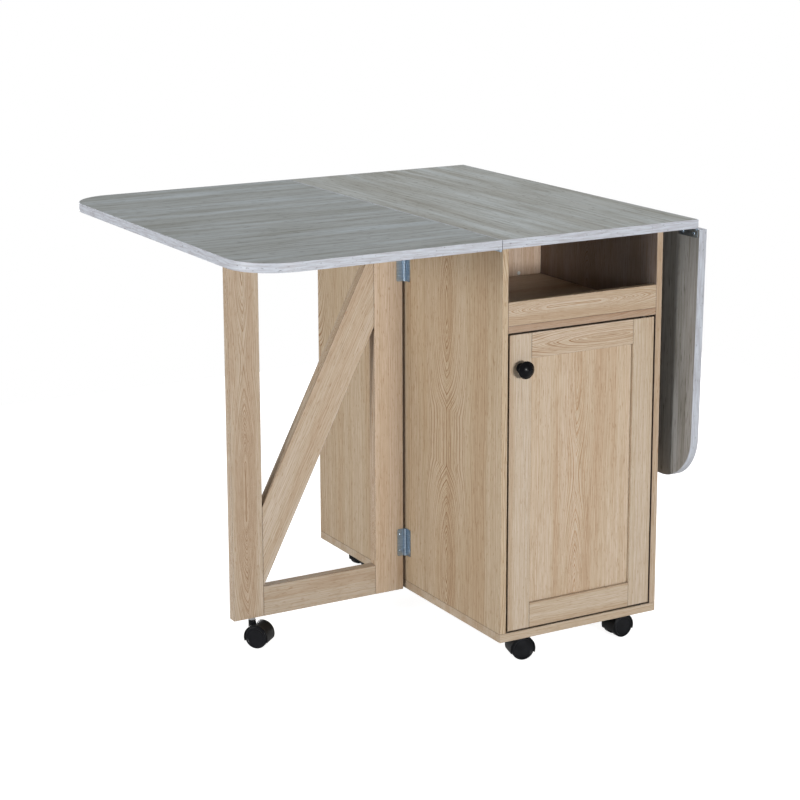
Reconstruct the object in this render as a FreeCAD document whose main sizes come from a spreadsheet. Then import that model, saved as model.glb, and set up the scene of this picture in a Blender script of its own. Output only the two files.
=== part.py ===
import FreeCAD, Part
import math
import os

import Sketcher

# Kitchen table with a storage cabinet: a narrow cabinet on casters carries a fixed centre
# top with a drop leaf at each side. A gate hinged to each cabinet side swings out on its own
# caster and carries the raised leaf. Here the left leaf stands on its open gate and the
# right leaf hangs in front of its folded gate.
#
# Millimetres, +X to the right along the door front, +Y to the back, +Z up. The origin is on
# the floor, in the middle of the whole table's outline as it stands.

doc = FreeCAD.newDocument("DropLeafTable")
PARTS_FOLDER = "parts"

SIZES = [
    # name, millimetres or degrees, what it is
    ("table_height", 750, "floor to the upper face of the top"),
    ("top_thickness", 15, "board of the centre top and the leaves"),
    ("top_depth", 754, "front to back size of the top"),
    ("top_side_overhang", 33, "centre top beyond each cabinet side"),
    ("leaf_length", 442, "seam to outer edge of a leaf"),
    ("leaf_corner_radius", 80, "outer corners of a leaf"),
    ("seam_gap", 1, "between the centre top and a raised leaf"),
    ("band_thickness", 1, "edge band round each board of the top"),
    ("hang_lean", 1, "degrees that a hanging leaf leans in past plumb"),
    ("cabinet_width", 320, "over both side panels"),
    ("cabinet_depth", 650, "front to back size of the cabinet"),
    ("caster_height", 52, "floor to the underside of the base board"),
    ("base_thickness", 15, "base board"),
    ("side_thickness", 12, "side panels"),
    ("shelf_thickness", 12, "cubby floor and shelves"),
    ("partition_thickness", 12, "upright board between front and back compartments"),
    ("front_compartment_depth", 354, "cabinet front to the partition"),
    ("door_opening_height", 516, "base board to the underside of the cubby floor"),
    ("apron_height", 40, "lip along the front of the cubby floor"),
    ("apron_thickness", 12, "lip along the front of the cubby floor"),
    ("inner_shelf_rise", 250, "base board to the underside of the shelf behind the door"),
    ("inner_shelf_setback", 34, "cabinet front to the shelf behind the door"),
    ("shelf_clearance", 0.5, "loose shelf to the boards beside it"),
    ("shelf_pin_diameter", 5, "pins under the loose shelf"),
    ("shelf_pin_length", 16, "pins under the loose shelf"),
    ("shelf_pin_embed", 8, "part of a shelf pin inside the side panel"),
    ("shelf_pin_inset", 45, "shelf edge to the pin beside it"),
    ("hole_clearance", 0.1, "hole radius beyond the pin that stands in it"),
    ("hole_spare", 1, "blind hole deeper than what stands in it"),
    ("bracket_leg", 25, "angle brackets under the centre top"),
    ("bracket_width", 18, "angle brackets under the centre top"),
    ("bracket_plate", 2, "angle brackets under the centre top"),
    ("bracket_bend_radius", 1.5, "inside of the bracket's bend"),
    ("bracket_hole_diameter", 4, "screw holes of the brackets"),
    ("bracket_inset", 110, "cabinet front or back to the bracket's middle"),
    ("carcass_screw_diameter", 4, "screws up through the base board into the sides"),
    ("carcass_screw_head", 8, "countersunk head"),
    ("carcass_screw_length", 45, "with its head"),
    ("carcass_screw_point", 4, "pointed end"),
    ("carcass_screw_inset", 60, "cabinet front or back to the first screw"),
    ("door_gap", 3, "between the door and the boards round it"),
    ("door_thickness", 15, "stiles and rails"),
    ("door_frame_width", 43, "stiles and rails, seen from the front"),
    ("door_panel_thickness", 6, "panel in the door frame"),
    ("door_panel_recess", 5, "front of the frame to the panel"),
    ("groove_depth", 8, "groove round the inside of the door frame"),
    ("groove_clearance", 0.1, "panel and tongues in their groove, each side"),
    ("panel_float", 0.5, "panel edge to the bottom of the groove"),
    ("pivot_inset", 18, "door edge to the pivot pins"),
    ("pivot_diameter", 5, "steel pins that the door turns on"),
    ("pivot_embed", 10, "part of a pivot pin inside its board"),
    ("pivot_reach", 9, "part of a pivot pin inside the door"),
    ("bush_diameter", 8, "bushes in the door for the pivot pins"),
    ("bush_flange_diameter", 13, "washer of the bush"),
    ("bush_flange_thickness", 2.6, "washer of the bush"),
    ("running_clearance", 0.05, "radius of a bore beyond the pin that turns in it"),
    ("knob_diameter", 30, "cap of the knob"),
    ("knob_height", 24, "door face to the crown of the knob"),
    ("knob_cap_thickness", 11, "cap of the knob"),
    ("knob_crown_diameter", 18, "low dome on the cap"),
    ("knob_crown_rise", 1, "low dome on the cap"),
    ("knob_neck_diameter", 11, "neck of the knob"),
    ("knob_foot_diameter", 17, "foot of the knob on the door"),
    ("knob_foot_thickness", 2.5, "foot of the knob"),
    ("knob_drop", 57, "door's upper edge to the middle of the knob"),
    ("knob_screw_diameter", 4, "screw from inside the door"),
    ("knob_screw_head", 9, "pan head of that screw"),
    ("knob_screw_head_height", 2.5, "pan head of that screw"),
    ("knob_screw_head_rounding", 1, "pan head of that screw"),
    ("knob_screw_bite", 12, "screw inside the knob"),
    ("catch_length", 42, "magnetic catch under the cubby floor"),
    ("catch_depth", 14, "magnetic catch, front to back"),
    ("catch_height", 12, "magnetic catch"),
    ("catch_corner_radius", 2, "magnetic catch"),
    ("catch_inset", 60, "side panel to the near end of the catch"),
    ("strike_thickness", 1.2, "steel plate on the back of the door"),
    ("strike_height", 11, "steel plate on the back of the door"),
    ("strike_length", 38, "steel plate on the back of the door"),
    ("touch_gap", 0.3, "pieces that rest close but don't press"),
    ("gate_width", 336, "inner to outer edge of a gate"),
    ("gate_thickness", 18, "all members of a gate"),
    ("gate_post_width", 57, "both posts of a gate"),
    ("gate_rail_height", 54, "bottom rail of a gate"),
    ("gate_top_rail_height", 42, "top rail of a gate"),
    ("gate_brace_width", 65, "diagonal of a gate"),
    ("gate_setback", 317, "cabinet front to the face of the open left gate"),
    ("gate_side_gap", 5.5, "side panel to the inner edge of the open gate"),
    ("gate_drop", 6.5, "underside of the top to the upper edge of a gate"),
    ("gate_hinge_low", 64, "lower edge of the gate to its lower hinge"),
    ("gate_hinge_high", 60, "upper edge of the gate to its upper hinge"),
    ("gate_stem_inset", 38, "outer edge of a gate to its caster stem"),
    ("glide_diameter", 16, "glide on top of the gate, under the leaf"),
    ("glide_inset", 42, "outer edge of a gate to the middle of the glide"),
    ("glide_edge_radius", 1.2, "rounded rim of the glide"),
    ("hinge_length", 50, "butt hinges of the leaves and gates"),
    ("hinge_leaf_width", 15, "hinge axis to the edge of a hinge plate"),
    ("hinge_plate", 1.2, "thickness of a hinge plate"),
    ("hinge_corner_radius", 3, "corners of a hinge plate"),
    ("knuckle_diameter", 5, "rolled knuckles of a hinge"),
    ("hinge_pin_diameter", 2.6, "pin through the knuckles"),
    ("knuckle_gap", 0.3, "between neighbouring knuckles"),
    ("outer_knuckle_length", 12, "each outer knuckle, on the fixed plate"),
    ("hinge_screw_hole", 3.6, "countersunk holes of the plates"),
    ("hinge_screw_inset", 10, "end of a hinge to its screw hole"),
    ("leaf_hinge_inset", 5, "front or back edge of the top to the first leaf hinge"),
    ("wheel_diameter", 40, "twin wheels of a caster"),
    ("wheel_width", 11.5, "one wheel"),
    ("wheel_edge_radius", 2, "rounded edges of the tread"),
    ("wheel_dish_depth", 1.2, "dished outer face of a wheel"),
    ("wheel_rim_width", 3.5, "rim round the dished face"),
    ("wheel_side_gap", 0.5, "web of the hood to a wheel"),
    ("axle_diameter", 5, "axle of the twin wheels"),
    ("hood_web", 10, "web of the hood between the wheels"),
    ("hood_gap", 0.8, "tread to the inside of the hood"),
    ("hood_thickness", 1.6, "shell of the hood over the wheels"),
    ("hood_rim_radius", 1, "rounded outer rims of the hood"),
    ("hood_angle", 220, "degrees that the hood reaches round the wheels"),
    ("hood_boss_diameter", 15, "boss of the web round the axle"),
    ("hood_neck_diameter", 13, "neck of the hood round the stem"),
    ("caster_trail", 13, "stem axis to the axle"),
    ("stem_pin_diameter", 6, "lower end of the stem, in the hood"),
    ("stem_pin_length", 15, "lower end of the stem, in the hood"),
    ("stem_thread_diameter", 8, "upper end of the stem, in the board"),
    ("stem_embed", 12, "upper end of the stem, in the board"),
    ("stem_nut_width", 11, "six-sided collar of the stem, across its flats"),
    ("stem_nut_height", 5, "six-sided collar of the stem"),
    ("caster_side_inset", 57, "cabinet side to a caster stem"),
    ("caster_end_inset", 48, "cabinet front or back to a caster stem"),
]

# Places worked out from the sizes. "S." stands for the sheet and "P." for an earlier place.
PLACES = [
    ("top_under", "S.table_height - S.top_thickness", "underside of the top"),
    ("knuckle_radius", "S.knuckle_diameter / 2", "hinge axis to a mounting face"),
    ("leaf_axis_height", "P.top_under - P.knuckle_radius", "height of the leaf hinge axes"),
    ("top_half_width", "S.cabinet_width / 2 + S.top_side_overhang", "half the centre top"),
    ("leaf_axis_reach", "P.top_half_width + S.seam_gap / 2", "cabinet middle to a leaf axis"),
    ("raised_reach", "P.top_half_width + S.seam_gap + S.leaf_length", "cabinet middle to leaf end"),
    (
        "hanging_reach",
        "P.leaf_axis_reach + (P.knuckle_radius + S.top_thickness) * cos(S.hang_lean * 1deg)"
        " - S.seam_gap / 2 * sin(S.hang_lean * 1deg)",
        "cabinet middle to the face of the hanging leaf",
    ),
    ("cabinet_x", "(P.raised_reach - P.hanging_reach) / 2", "middle of the cabinet"),
    ("left_face", "P.cabinet_x - S.cabinet_width / 2", "outer face of the left side"),
    ("right_face", "P.cabinet_x + S.cabinet_width / 2", "outer face of the right side"),
    ("inner_left", "P.left_face + S.side_thickness", "inner face of the left side"),
    ("inner_width", "S.cabinet_width - 2 * S.side_thickness", "between the side panels"),
    ("front", "-S.cabinet_depth / 2", "front of the cabinet"),
    ("top_front", "-S.top_depth / 2", "front edge of the top"),
    ("base_top", "S.caster_height + S.base_thickness", "upper face of the base board"),
    ("side_height", "P.top_under - P.base_top", "side panels"),
    ("cubby_under", "P.base_top + S.door_opening_height", "underside of the cubby floor"),
    ("cubby_top", "P.cubby_under + S.shelf_thickness", "upper face of the cubby floor"),
    ("partition_front", "P.front + S.front_compartment_depth", "front of the partition"),
    ("partition_back", "P.partition_front + S.partition_thickness", "back of the partition"),
    ("rear_depth", "S.cabinet_depth / 2 - P.partition_back", "depth of the back compartments"),
    ("rear_bay", "(P.side_height - 2 * S.shelf_thickness) / 3", "height of a back compartment"),
    ("door_left", "P.inner_left + S.door_gap", "left edge of the door"),
    ("door_width", "P.inner_width - 2 * S.door_gap", "door"),
    ("door_bottom", "P.base_top + S.door_gap", "lower edge of the door"),
    ("door_height", "S.door_opening_height - 2 * S.door_gap", "door"),
    ("door_top", "P.door_bottom + P.door_height", "upper edge of the door"),
    ("rail_span", "P.door_width - 2 * S.door_frame_width", "rail between the stiles"),
    ("pivot_x", "P.door_left + P.door_width - S.pivot_inset", "axis of the door"),
    ("pivot_y", "P.front + S.door_thickness / 2", "axis of the door"),
    ("knob_x", "P.door_left + S.door_frame_width / 2", "middle of the knob"),
    ("knob_z", "P.door_top - S.knob_drop", "middle of the knob"),
    ("gate_axis_offset", "S.cabinet_width / 2 + P.knuckle_radius", "cabinet middle to a gate axis"),
    ("left_gate_x", "P.cabinet_x - P.gate_axis_offset", "axis of the left gate"),
    ("left_gate_y", "P.front + S.gate_setback - P.knuckle_radius", "axis of the left gate"),
    ("right_gate_x", "P.cabinet_x + P.gate_axis_offset", "axis of the right gate"),
    ("right_gate_y", "-P.left_gate_y", "axis of the right gate"),
    ("gate_top", "P.top_under - S.gate_drop", "upper edge of a gate"),
    ("gate_height", "P.gate_top - S.caster_height", "gate"),
    ("gate_inner", "S.gate_side_gap - P.knuckle_radius", "gate axis to its inner edge"),
    ("gate_outer", "P.gate_inner + S.gate_width", "gate axis to its outer edge"),
    ("wheel_radius", "S.wheel_diameter / 2", "height of the axle"),
    ("hood_bore", "P.wheel_radius + S.hood_gap", "inner radius of the hood"),
    ("hood_radius", "P.hood_bore + S.hood_thickness", "outer radius of the hood"),
    ("wheel_start", "S.hood_web / 2 + S.wheel_side_gap", "caster middle to a wheel"),
    ("hood_half_width", "P.wheel_start + S.wheel_width", "caster middle to the hood's rim"),
    ("nut_under", "S.caster_height - S.stem_nut_height", "underside of the stem's collar"),
]


# ---------------------------------------------------------------- document


def full(formula):
    """A formula with the short names of the sheet and the places written out."""
    return formula.replace("S.", "Sizes.").replace("P.", "Places.")


def fill_sheet():
    """The sheet of driving sizes: name, value and meaning in each row."""
    sheet = doc.addObject("Spreadsheet::Sheet", "Sizes")
    for row, (name, value, meaning) in enumerate(SIZES, start=1):
        sheet.set(f"A{row}", name)
        sheet.set(f"B{row}", str(value))
        sheet.set(f"C{row}", meaning)
        sheet.setAlias(f"B{row}", name)
    doc.recompute()
    return sheet


def fill_places():
    """The set of places, each bound to the sheet by its formula."""
    places = doc.addObject("App::VarSet", "Places")
    for name, formula, meaning in PLACES:
        places.addProperty("App::PropertyFloat", name, "Places", meaning)
        places.setExpression(name, full(formula))
        doc.recompute()
    return places


sheet = fill_sheet()
fill_places()
nodes = []


def value(formula):
    """The present number of a formula."""
    result = sheet.evalExpression(full(formula))
    return float(getattr(result, "Value", result))


def bind(thing, target, formula):
    """Bind one property of an object to a formula."""
    thing.setExpression(target, full(formula))


def put(thing, x, y, z):
    """Bind an object's place to three formulas."""
    for axis, formula in (("x", x), ("y", y), ("z", z)):
        bind(thing, f".Placement.Base.{axis}", formula)


def turn(thing, axis, degrees):
    """Turn an object by a formula in degrees about an axis through its own origin."""
    thing.Placement.Rotation = FreeCAD.Rotation(axis, value(degrees))


def keep(thing):
    """Hand a finished sub-part over for export under its Label."""
    nodes.append(thing)
    return thing


# ---------------------------------------------------------------- sketches and features

X_AXIS = FreeCAD.Vector(1, 0, 0)
Y_AXIS = FreeCAD.Vector(0, 1, 0)
Z_AXIS = FreeCAD.Vector(0, 0, 1)


def new_body(label):
    body = doc.addObject("PartDesign::Body", label)
    body.Label = label
    return body


def origin_feature(body, role):
    """One of the body's own origin planes or axes."""
    return next(f for f in body.Origin.OriginFeatures if f.Role == role)


def new_sketch(body, name, role, height="0"):
    """An empty sketch on an origin plane, moved along the plane's normal."""
    sketch = body.newObject("Sketcher::SketchObject", name)
    sketch.AttachmentSupport = (origin_feature(body, role), "")
    sketch.MapMode = "FlatFace"
    bind(sketch, ".AttachmentOffset.Base.z", height)
    return sketch


def dimension(sketch, constraint, name, formula):
    """A named dimension of a sketch, bound to its formula."""
    index = sketch.addConstraint(constraint)
    sketch.renameConstraint(index, name)
    bind(sketch, f"Constraints.{name}", formula)


def draw_outline(sketch, corners):
    """A closed outline through corners given as pairs of formulas."""
    points = [FreeCAD.Vector(value(x), value(y), 0) for x, y in corners]
    count = len(points)
    first = sketch.GeometryCount
    for i in range(count):
        sketch.addGeometry(Part.LineSegment(points[i], points[(i + 1) % count]), False)
    for i in range(count):
        here, following = first + i, first + (i + 1) % count
        sketch.addConstraint(Sketcher.Constraint("Coincident", here, 2, following, 1))
    for i, (x, y) in enumerate(corners):
        here = first + i
        across = Sketcher.Constraint("DistanceX", -1, 1, here, 1, points[i].x)
        up = Sketcher.Constraint("DistanceY", -1, 1, here, 1, points[i].y)
        dimension(sketch, across, f"x{here}", x)
        dimension(sketch, up, f"y{here}", y)


def box_corners(x0, y0, x1, y1):
    return [(x0, y0), (x1, y0), (x1, y1), (x0, y1)]


def draw_circles(sketch, centres, diameter):
    """Equal circles at centres given as pairs of formulas."""
    for x, y in centres:
        centre = FreeCAD.Vector(value(x), value(y), 0)
        circle = Part.Circle(centre, Z_AXIS, value(diameter) / 2)
        index = sketch.addGeometry(circle, False)
        across = Sketcher.Constraint("DistanceX", -1, 1, index, 3, centre.x)
        up = Sketcher.Constraint("DistanceY", -1, 1, index, 3, centre.y)
        size = Sketcher.Constraint("Diameter", index, value(diameter))
        dimension(sketch, across, f"x{index}", x)
        dimension(sketch, up, f"y{index}", y)
        dimension(sketch, size, f"d{index}", diameter)


def pad(body, name, sketch, length, midplane=False, reversed_=False):
    feature = body.newObject("PartDesign::Pad", name)
    feature.Profile = sketch
    feature.Midplane = midplane
    feature.Reversed = reversed_
    bind(feature, "Length", length)
    sketch.Visibility = False
    doc.recompute()
    return feature


def pocket(body, name, sketch, depth=None, reversed_=False, midplane=False):
    """Cut a sketch into the body, right through it when no depth is given."""
    before = body.Shape.Volume
    feature = body.newObject("PartDesign::Pocket", name)
    feature.Profile = sketch
    feature.Reversed = reversed_
    feature.Midplane = midplane
    if depth is None:
        feature.Type = "ThroughAll"
    else:
        bind(feature, "Length", depth)
    doc.recompute()
    must_cut(body, name, before)
    return feature


def must_cut(body, name, before):
    """Stop when a cut has taken nothing off the body."""
    if before - body.Shape.Volume < 0.01:
        raise RuntimeError(f"{body.Label}: {name} cuts nothing")


def revolve(body, name, sketch, axis_role, degrees="360", midplane=False):
    feature = body.newObject("PartDesign::Revolution", name)
    feature.Profile = sketch
    feature.ReferenceAxis = (origin_feature(body, axis_role), [""])
    feature.Midplane = midplane
    bind(feature, "Angle", degrees)
    doc.recompute()
    return feature


def groove(body, name, sketch, axis_role):
    """Turn a sketch out of the body, all the way round."""
    before = body.Shape.Volume
    feature = body.newObject("PartDesign::Groove", name)
    feature.Profile = sketch
    feature.ReferenceAxis = (origin_feature(body, axis_role), [""])
    feature.Angle = 360
    doc.recompute()
    must_cut(body, name, before)
    return feature


def fillet(body, name, radius, wanted):
    """Round the edges of the body's present shape that the test accepts."""
    base = body.Tip
    edges = [f"Edge{i}" for i, e in enumerate(base.Shape.Edges, start=1) if wanted(e)]
    if not edges:
        raise RuntimeError(f"{body.Label}: {name} finds no edge")
    feature = body.newObject("PartDesign::Fillet", name)
    feature.Base = (base, edges)
    bind(feature, "Radius", radius)
    doc.recompute()
    return feature


def is_straight(edge, axis):
    """Whether an edge is a straight one along an axis."""
    if not isinstance(edge.Curve, Part.Line):
        return False
    return abs(abs(edge.Curve.Direction.dot(axis)) - 1) < 1e-6


def block(label, x, y, z, length, depth, height):
    """A plain board: a rectangle on the floor plane, padded up. Placed at its low corner."""
    body = new_body(label)
    outline = new_sketch(body, "outline", "XY_Plane")
    draw_outline(outline, box_corners("0", "0", length, depth))
    pad(body, "board", outline, height)
    put(body, x, y, z)
    return body


def drill(body, name, role, centres, diameter, start, depth, reversed_=False):
    """Equal round holes from a plane parallel to an origin plane."""
    sketch = new_sketch(body, name + "_centres", role, start)
    draw_circles(sketch, centres, diameter)
    return pocket(body, name, sketch, depth, reversed_)


# ---------------------------------------------------------------- cabinet

SCREW_ROWS = ("S.carcass_screw_inset", "S.cabinet_depth / 2", "S.cabinet_depth - S.carcass_screw_inset")
SIDE_MIDDLES = ("S.side_thickness / 2", "S.cabinet_width - S.side_thickness / 2")
CASTER_SPOTS = {
    "front_left": ("S.caster_side_inset", "S.caster_end_inset"),
    "front_right": ("S.cabinet_width - S.caster_side_inset", "S.caster_end_inset"),
    "back_left": ("S.caster_side_inset", "S.cabinet_depth - S.caster_end_inset"),
    "back_right": (
        "S.cabinet_width - S.caster_side_inset",
        "S.cabinet_depth - S.caster_end_inset",
    ),
}
SHELF_PIN_ROWS = (
    "S.inner_shelf_setback + S.shelf_pin_inset",
    "S.front_compartment_depth - S.shelf_pin_inset",
)
SHELF_PIN_HEIGHT = "S.inner_shelf_rise - S.shelf_pin_diameter / 2"
SCREW_HOLE = "S.carcass_screw_diameter + 2 * S.hole_clearance"


def base_board():
    body = block(
        "base_board", "P.left_face", "P.front", "S.caster_height",
        "S.cabinet_width", "S.cabinet_depth", "S.base_thickness",
    )
    screws = [(x, y) for x in SIDE_MIDDLES for y in SCREW_ROWS]
    drill(body, "screw_holes", "XY_Plane", screws, SCREW_HOLE, "0", None, True)
    stem_hole = "S.stem_thread_diameter + 2 * S.hole_clearance"
    stems = list(CASTER_SPOTS.values())
    drill(body, "stem_holes", "XY_Plane", stems, stem_hole, "0", "S.stem_embed + S.hole_spare", True)
    pivot = [("P.pivot_x - P.left_face", "P.pivot_y - P.front")]
    pivot_hole = "S.pivot_diameter + 2 * S.hole_clearance"
    drill(body, "pivot_hole", "XY_Plane", pivot, pivot_hole, "S.base_thickness", "S.pivot_embed")
    countersink_screws(body, screws)
    return keep(body)


def countersink_screws(body, centres):
    """Cone seats for the carcass screws on the underside of the base board."""
    rim = "S.carcass_screw_head + 2 * S.hole_clearance"
    for number, (x, y) in enumerate(centres, start=1):
        seat = body.newObject("PartDesign::SubtractiveCone", f"screw_seat_{number}")
        bind(seat, "Radius1", f"({rim}) / 2")
        bind(seat, "Radius2", f"({SCREW_HOLE}) / 2")
        bind(seat, "Height", "(S.carcass_screw_head - S.carcass_screw_diameter) / 2")
        put(seat, x, y, "0")
        doc.recompute()


def side_panel(label, x, inner_face, inward):
    """A side panel with the holes for the screws from below and for the shelf pins."""
    body = block(
        label, x, "P.front", "P.base_top", "S.side_thickness", "S.cabinet_depth", "P.side_height"
    )
    screws = [("S.side_thickness / 2", y) for y in SCREW_ROWS]
    depth = "S.carcass_screw_length - S.base_thickness + S.hole_spare"
    drill(body, "screw_holes", "XY_Plane", screws, SCREW_HOLE, "0", depth, True)
    pins = [(y, SHELF_PIN_HEIGHT) for y in SHELF_PIN_ROWS]
    pin_hole = "S.shelf_pin_diameter + 2 * S.hole_clearance"
    drill(body, "pin_holes", "YZ_Plane", pins, pin_hole, inner_face, "S.shelf_pin_embed", inward)
    return keep(body)


def shelves_and_walls():
    """The boards between the side panels."""
    keep(block(
        "centre_partition", "P.inner_left", "P.partition_front", "P.base_top",
        "P.inner_width", "S.partition_thickness", "P.side_height",
    ))
    floor = block(
        "cubby_floor", "P.inner_left", "P.front", "P.cubby_under",
        "P.inner_width", "S.front_compartment_depth", "S.shelf_thickness",
    )
    pivot = [("P.pivot_x - P.inner_left", "P.pivot_y - P.front")]
    pivot_hole = "S.pivot_diameter + 2 * S.hole_clearance"
    drill(floor, "pivot_hole", "XY_Plane", pivot, pivot_hole, "0", "S.pivot_embed", True)
    keep(floor)
    keep(block(
        "cubby_apron", "P.inner_left", "P.front", "P.cubby_top",
        "P.inner_width", "S.apron_thickness", "S.apron_height",
    ))
    keep(block(
        "inner_shelf", "P.inner_left + S.shelf_clearance", "P.front + S.inner_shelf_setback",
        "P.base_top + S.inner_shelf_rise", "P.inner_width - 2 * S.shelf_clearance",
        "S.front_compartment_depth - S.inner_shelf_setback - S.shelf_clearance",
        "S.shelf_thickness",
    ))
    for number, label in enumerate(("rear_shelf_lower", "rear_shelf_upper"), start=1):
        height = f"P.base_top + {number} * P.rear_bay + {number - 1} * S.shelf_thickness"
        keep(block(
            label, "P.inner_left", "P.partition_back", height,
            "P.inner_width", "P.rear_depth", "S.shelf_thickness",
        ))


def group(label, members):
    """Several like solids as one node."""
    compound = doc.addObject("Part::Compound", label)
    compound.Label = label
    compound.Links = members
    doc.recompute()
    return keep(compound)


def rod(name, diameter, length):
    """A plain cylinder that a group takes in."""
    cylinder = doc.addObject("Part::Cylinder", name)
    bind(cylinder, "Radius", f"({diameter}) / 2")
    bind(cylinder, "Height", length)
    return cylinder


def shelf_pins():
    members = []
    sides = (
        ("left", "P.inner_left - S.shelf_pin_embed"),
        ("right", "P.inner_left + P.inner_width + S.shelf_pin_embed - S.shelf_pin_length"),
    )
    for side, start in sides:
        for row, y in enumerate(SHELF_PIN_ROWS, start=1):
            pin = rod(f"shelf_pin_{side}_{row}", "S.shelf_pin_diameter", "S.shelf_pin_length")
            turn(pin, Y_AXIS, "90")
            put(pin, start, f"P.front + {y}", f"P.base_top + {SHELF_PIN_HEIGHT}")
            members.append(pin)
    return group("shelf_pins", members)


def carcass_screw(name):
    """A countersunk screw, head down, its head's face at its own origin."""
    body = new_body(name)
    sketch = new_sketch(body, "profile", "XZ_Plane")
    head, shank = "S.carcass_screw_head / 2", "S.carcass_screw_diameter / 2"
    draw_outline(sketch, [
        ("0", "0"), (head, "0"), (shank, f"{head} - {shank}"),
        (shank, "S.carcass_screw_length - S.carcass_screw_point"), ("0", "S.carcass_screw_length"),
    ])
    revolve(body, "turned", sketch, "Z_Axis")
    return body


def carcass_screws():
    members = []
    for column, x in enumerate(SIDE_MIDDLES, start=1):
        for row, y in enumerate(SCREW_ROWS, start=1):
            screw = carcass_screw(f"carcass_screw_{column}_{row}")
            put(screw, f"P.left_face + {x}", f"P.front + {y}", "S.caster_height")
            members.append(screw)
    return group("carcass_screws", members)


def bracket(name):
    """An angle bracket: one leg up a side panel, one leg under the top. The corner of the
    two outer faces is at its own origin, its legs go to +X and down."""
    body = new_body(name)
    sketch = new_sketch(body, "profile", "XZ_Plane")
    leg, plate = "S.bracket_leg", "S.bracket_plate"
    draw_outline(sketch, [
        ("0", "0"), (leg, "0"), (leg, f"-{plate}"), (plate, f"-{plate}"),
        (plate, f"-{leg}"), ("0", f"-{leg}"),
    ])
    pad(body, "legs", sketch, "S.bracket_width", midplane=True)

    def in_bend(edge):
        middle = edge.CenterOfMass
        place = value(plate)
        return is_straight(edge, Y_AXIS) and abs(middle.x - place) + abs(middle.z + place) < 1e-6

    fillet(body, "bend", "S.bracket_bend_radius", in_bend)
    across = [(f"({plate} + {leg}) / 2", "0")]
    drill(body, "top_hole", "XY_Plane", across, "S.bracket_hole_diameter", "0", plate)
    down = [("0", f"-({plate} + {leg}) / 2")]
    drill(body, "side_hole", "YZ_Plane", down, "S.bracket_hole_diameter", "0", plate, True)
    return body


def top_brackets():
    members = []
    rows = ("P.front + S.bracket_inset", "-(P.front + S.bracket_inset)")
    for row, y in enumerate(rows, start=1):
        left = bracket(f"bracket_left_{row}")
        put(left, "P.inner_left", y, "P.top_under")
        right = bracket(f"bracket_right_{row}")
        turn(right, Z_AXIS, "180")
        put(right, "P.inner_left + P.inner_width", y, "P.top_under")
        members += [left, right]
    return group("top_brackets", members)


# ---------------------------------------------------------------- top and leaves


def is_upright(edge):
    return is_straight(edge, Z_AXIS)


def outer_corner(width):
    """A test for the upright edges at the outer end of a leaf of a given length."""
    return lambda edge: is_upright(edge) and edge.CenterOfMass.x > value(width) - 1e-6


def banded_board(label, length, depth, rounded):
    """A board of the top inside its edge band, and the band, both with their low corner at
    the band's corner. A leaf has its two outer corners rounded."""
    band = "S.band_thickness"
    core = new_body(label)
    outline = new_sketch(core, "outline", "XY_Plane")
    far_x, far_y = f"{length} - {band}", f"{depth} - {band}"
    draw_outline(outline, box_corners(band, band, far_x, far_y))
    pad(core, "board", outline, "S.top_thickness")
    strip = new_body(label + "_band")
    outside = new_sketch(strip, "outside", "XY_Plane")
    draw_outline(outside, box_corners("0", "0", length, depth))
    pad(strip, "slab", outside, "S.top_thickness")
    if rounded:
        inner_radius = f"S.leaf_corner_radius - {band}"
        fillet(core, "corners", inner_radius, outer_corner(far_x))
        fillet(strip, "corners", "S.leaf_corner_radius", outer_corner(length))
    inside = new_sketch(strip, "inside", "XY_Plane")
    if rounded:
        draw_rounded_end(inside, band, band, far_x, far_y, inner_radius)
    else:
        draw_outline(inside, box_corners(band, band, far_x, far_y))
    pocket(strip, "core_space", inside, None, True)
    return core, strip


def draw_rounded_end(sketch, x0, y0, x1, y1, radius):
    """A rectangle whose two corners at the high-X end are round."""
    low_x, low_y, high_x, high_y, r = (value(f) for f in (x0, y0, x1, y1, radius))
    corner = FreeCAD.Vector
    low_centre = corner(high_x - r, low_y + r, 0)
    high_centre = corner(high_x - r, high_y - r, 0)
    quarter = math.pi / 2
    pieces = [
        Part.LineSegment(corner(low_x, low_y, 0), corner(high_x - r, low_y, 0)),
        Part.ArcOfCircle(Part.Circle(low_centre, Z_AXIS, r), -quarter, 0),
        Part.LineSegment(corner(high_x, low_y + r, 0), corner(high_x, high_y - r, 0)),
        Part.ArcOfCircle(Part.Circle(high_centre, Z_AXIS, r), 0, quarter),
        Part.LineSegment(corner(high_x - r, high_y, 0), corner(low_x, high_y, 0)),
        Part.LineSegment(corner(low_x, high_y, 0), corner(low_x, low_y, 0)),
    ]
    for piece in pieces:
        sketch.addGeometry(piece, False)
    for here in range(len(pieces)):
        following = (here + 1) % len(pieces)
        if here in (4, 5):
            joint = Sketcher.Constraint("Coincident", here, 2, following, 1)
        else:
            joint = Sketcher.Constraint("Tangent", here, 2, following, 1)
        sketch.addConstraint(joint)
    sketch.addConstraint(Sketcher.Constraint("Horizontal", 0))
    sketch.addConstraint(Sketcher.Constraint("Vertical", 2))
    sketch.addConstraint(Sketcher.Constraint("Equal", 1, 3))
    dimension(sketch, Sketcher.Constraint("Radius", 1, r), "corner_radius", radius)
    places = (("DistanceX", 0, 1, low_x, x0), ("DistanceY", 0, 1, low_y, y0))
    places += (("DistanceX", 5, 1, low_x, x0), ("DistanceY", 5, 1, high_y, y1))
    places += (("DistanceX", 2, 1, high_x, x1),)
    for number, (kind, item, end, number_now, formula) in enumerate(places):
        line = Sketcher.Constraint(kind, -1, 1, item, end, number_now)
        dimension(sketch, line, f"place{number}", formula)


def centre_top():
    core, strip = banded_board("centre_top", "2 * P.top_half_width", "S.top_depth", False)
    for piece in (core, strip):
        put(piece, "P.cabinet_x - P.top_half_width", "P.top_front", "P.top_under")
        keep(piece)


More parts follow.
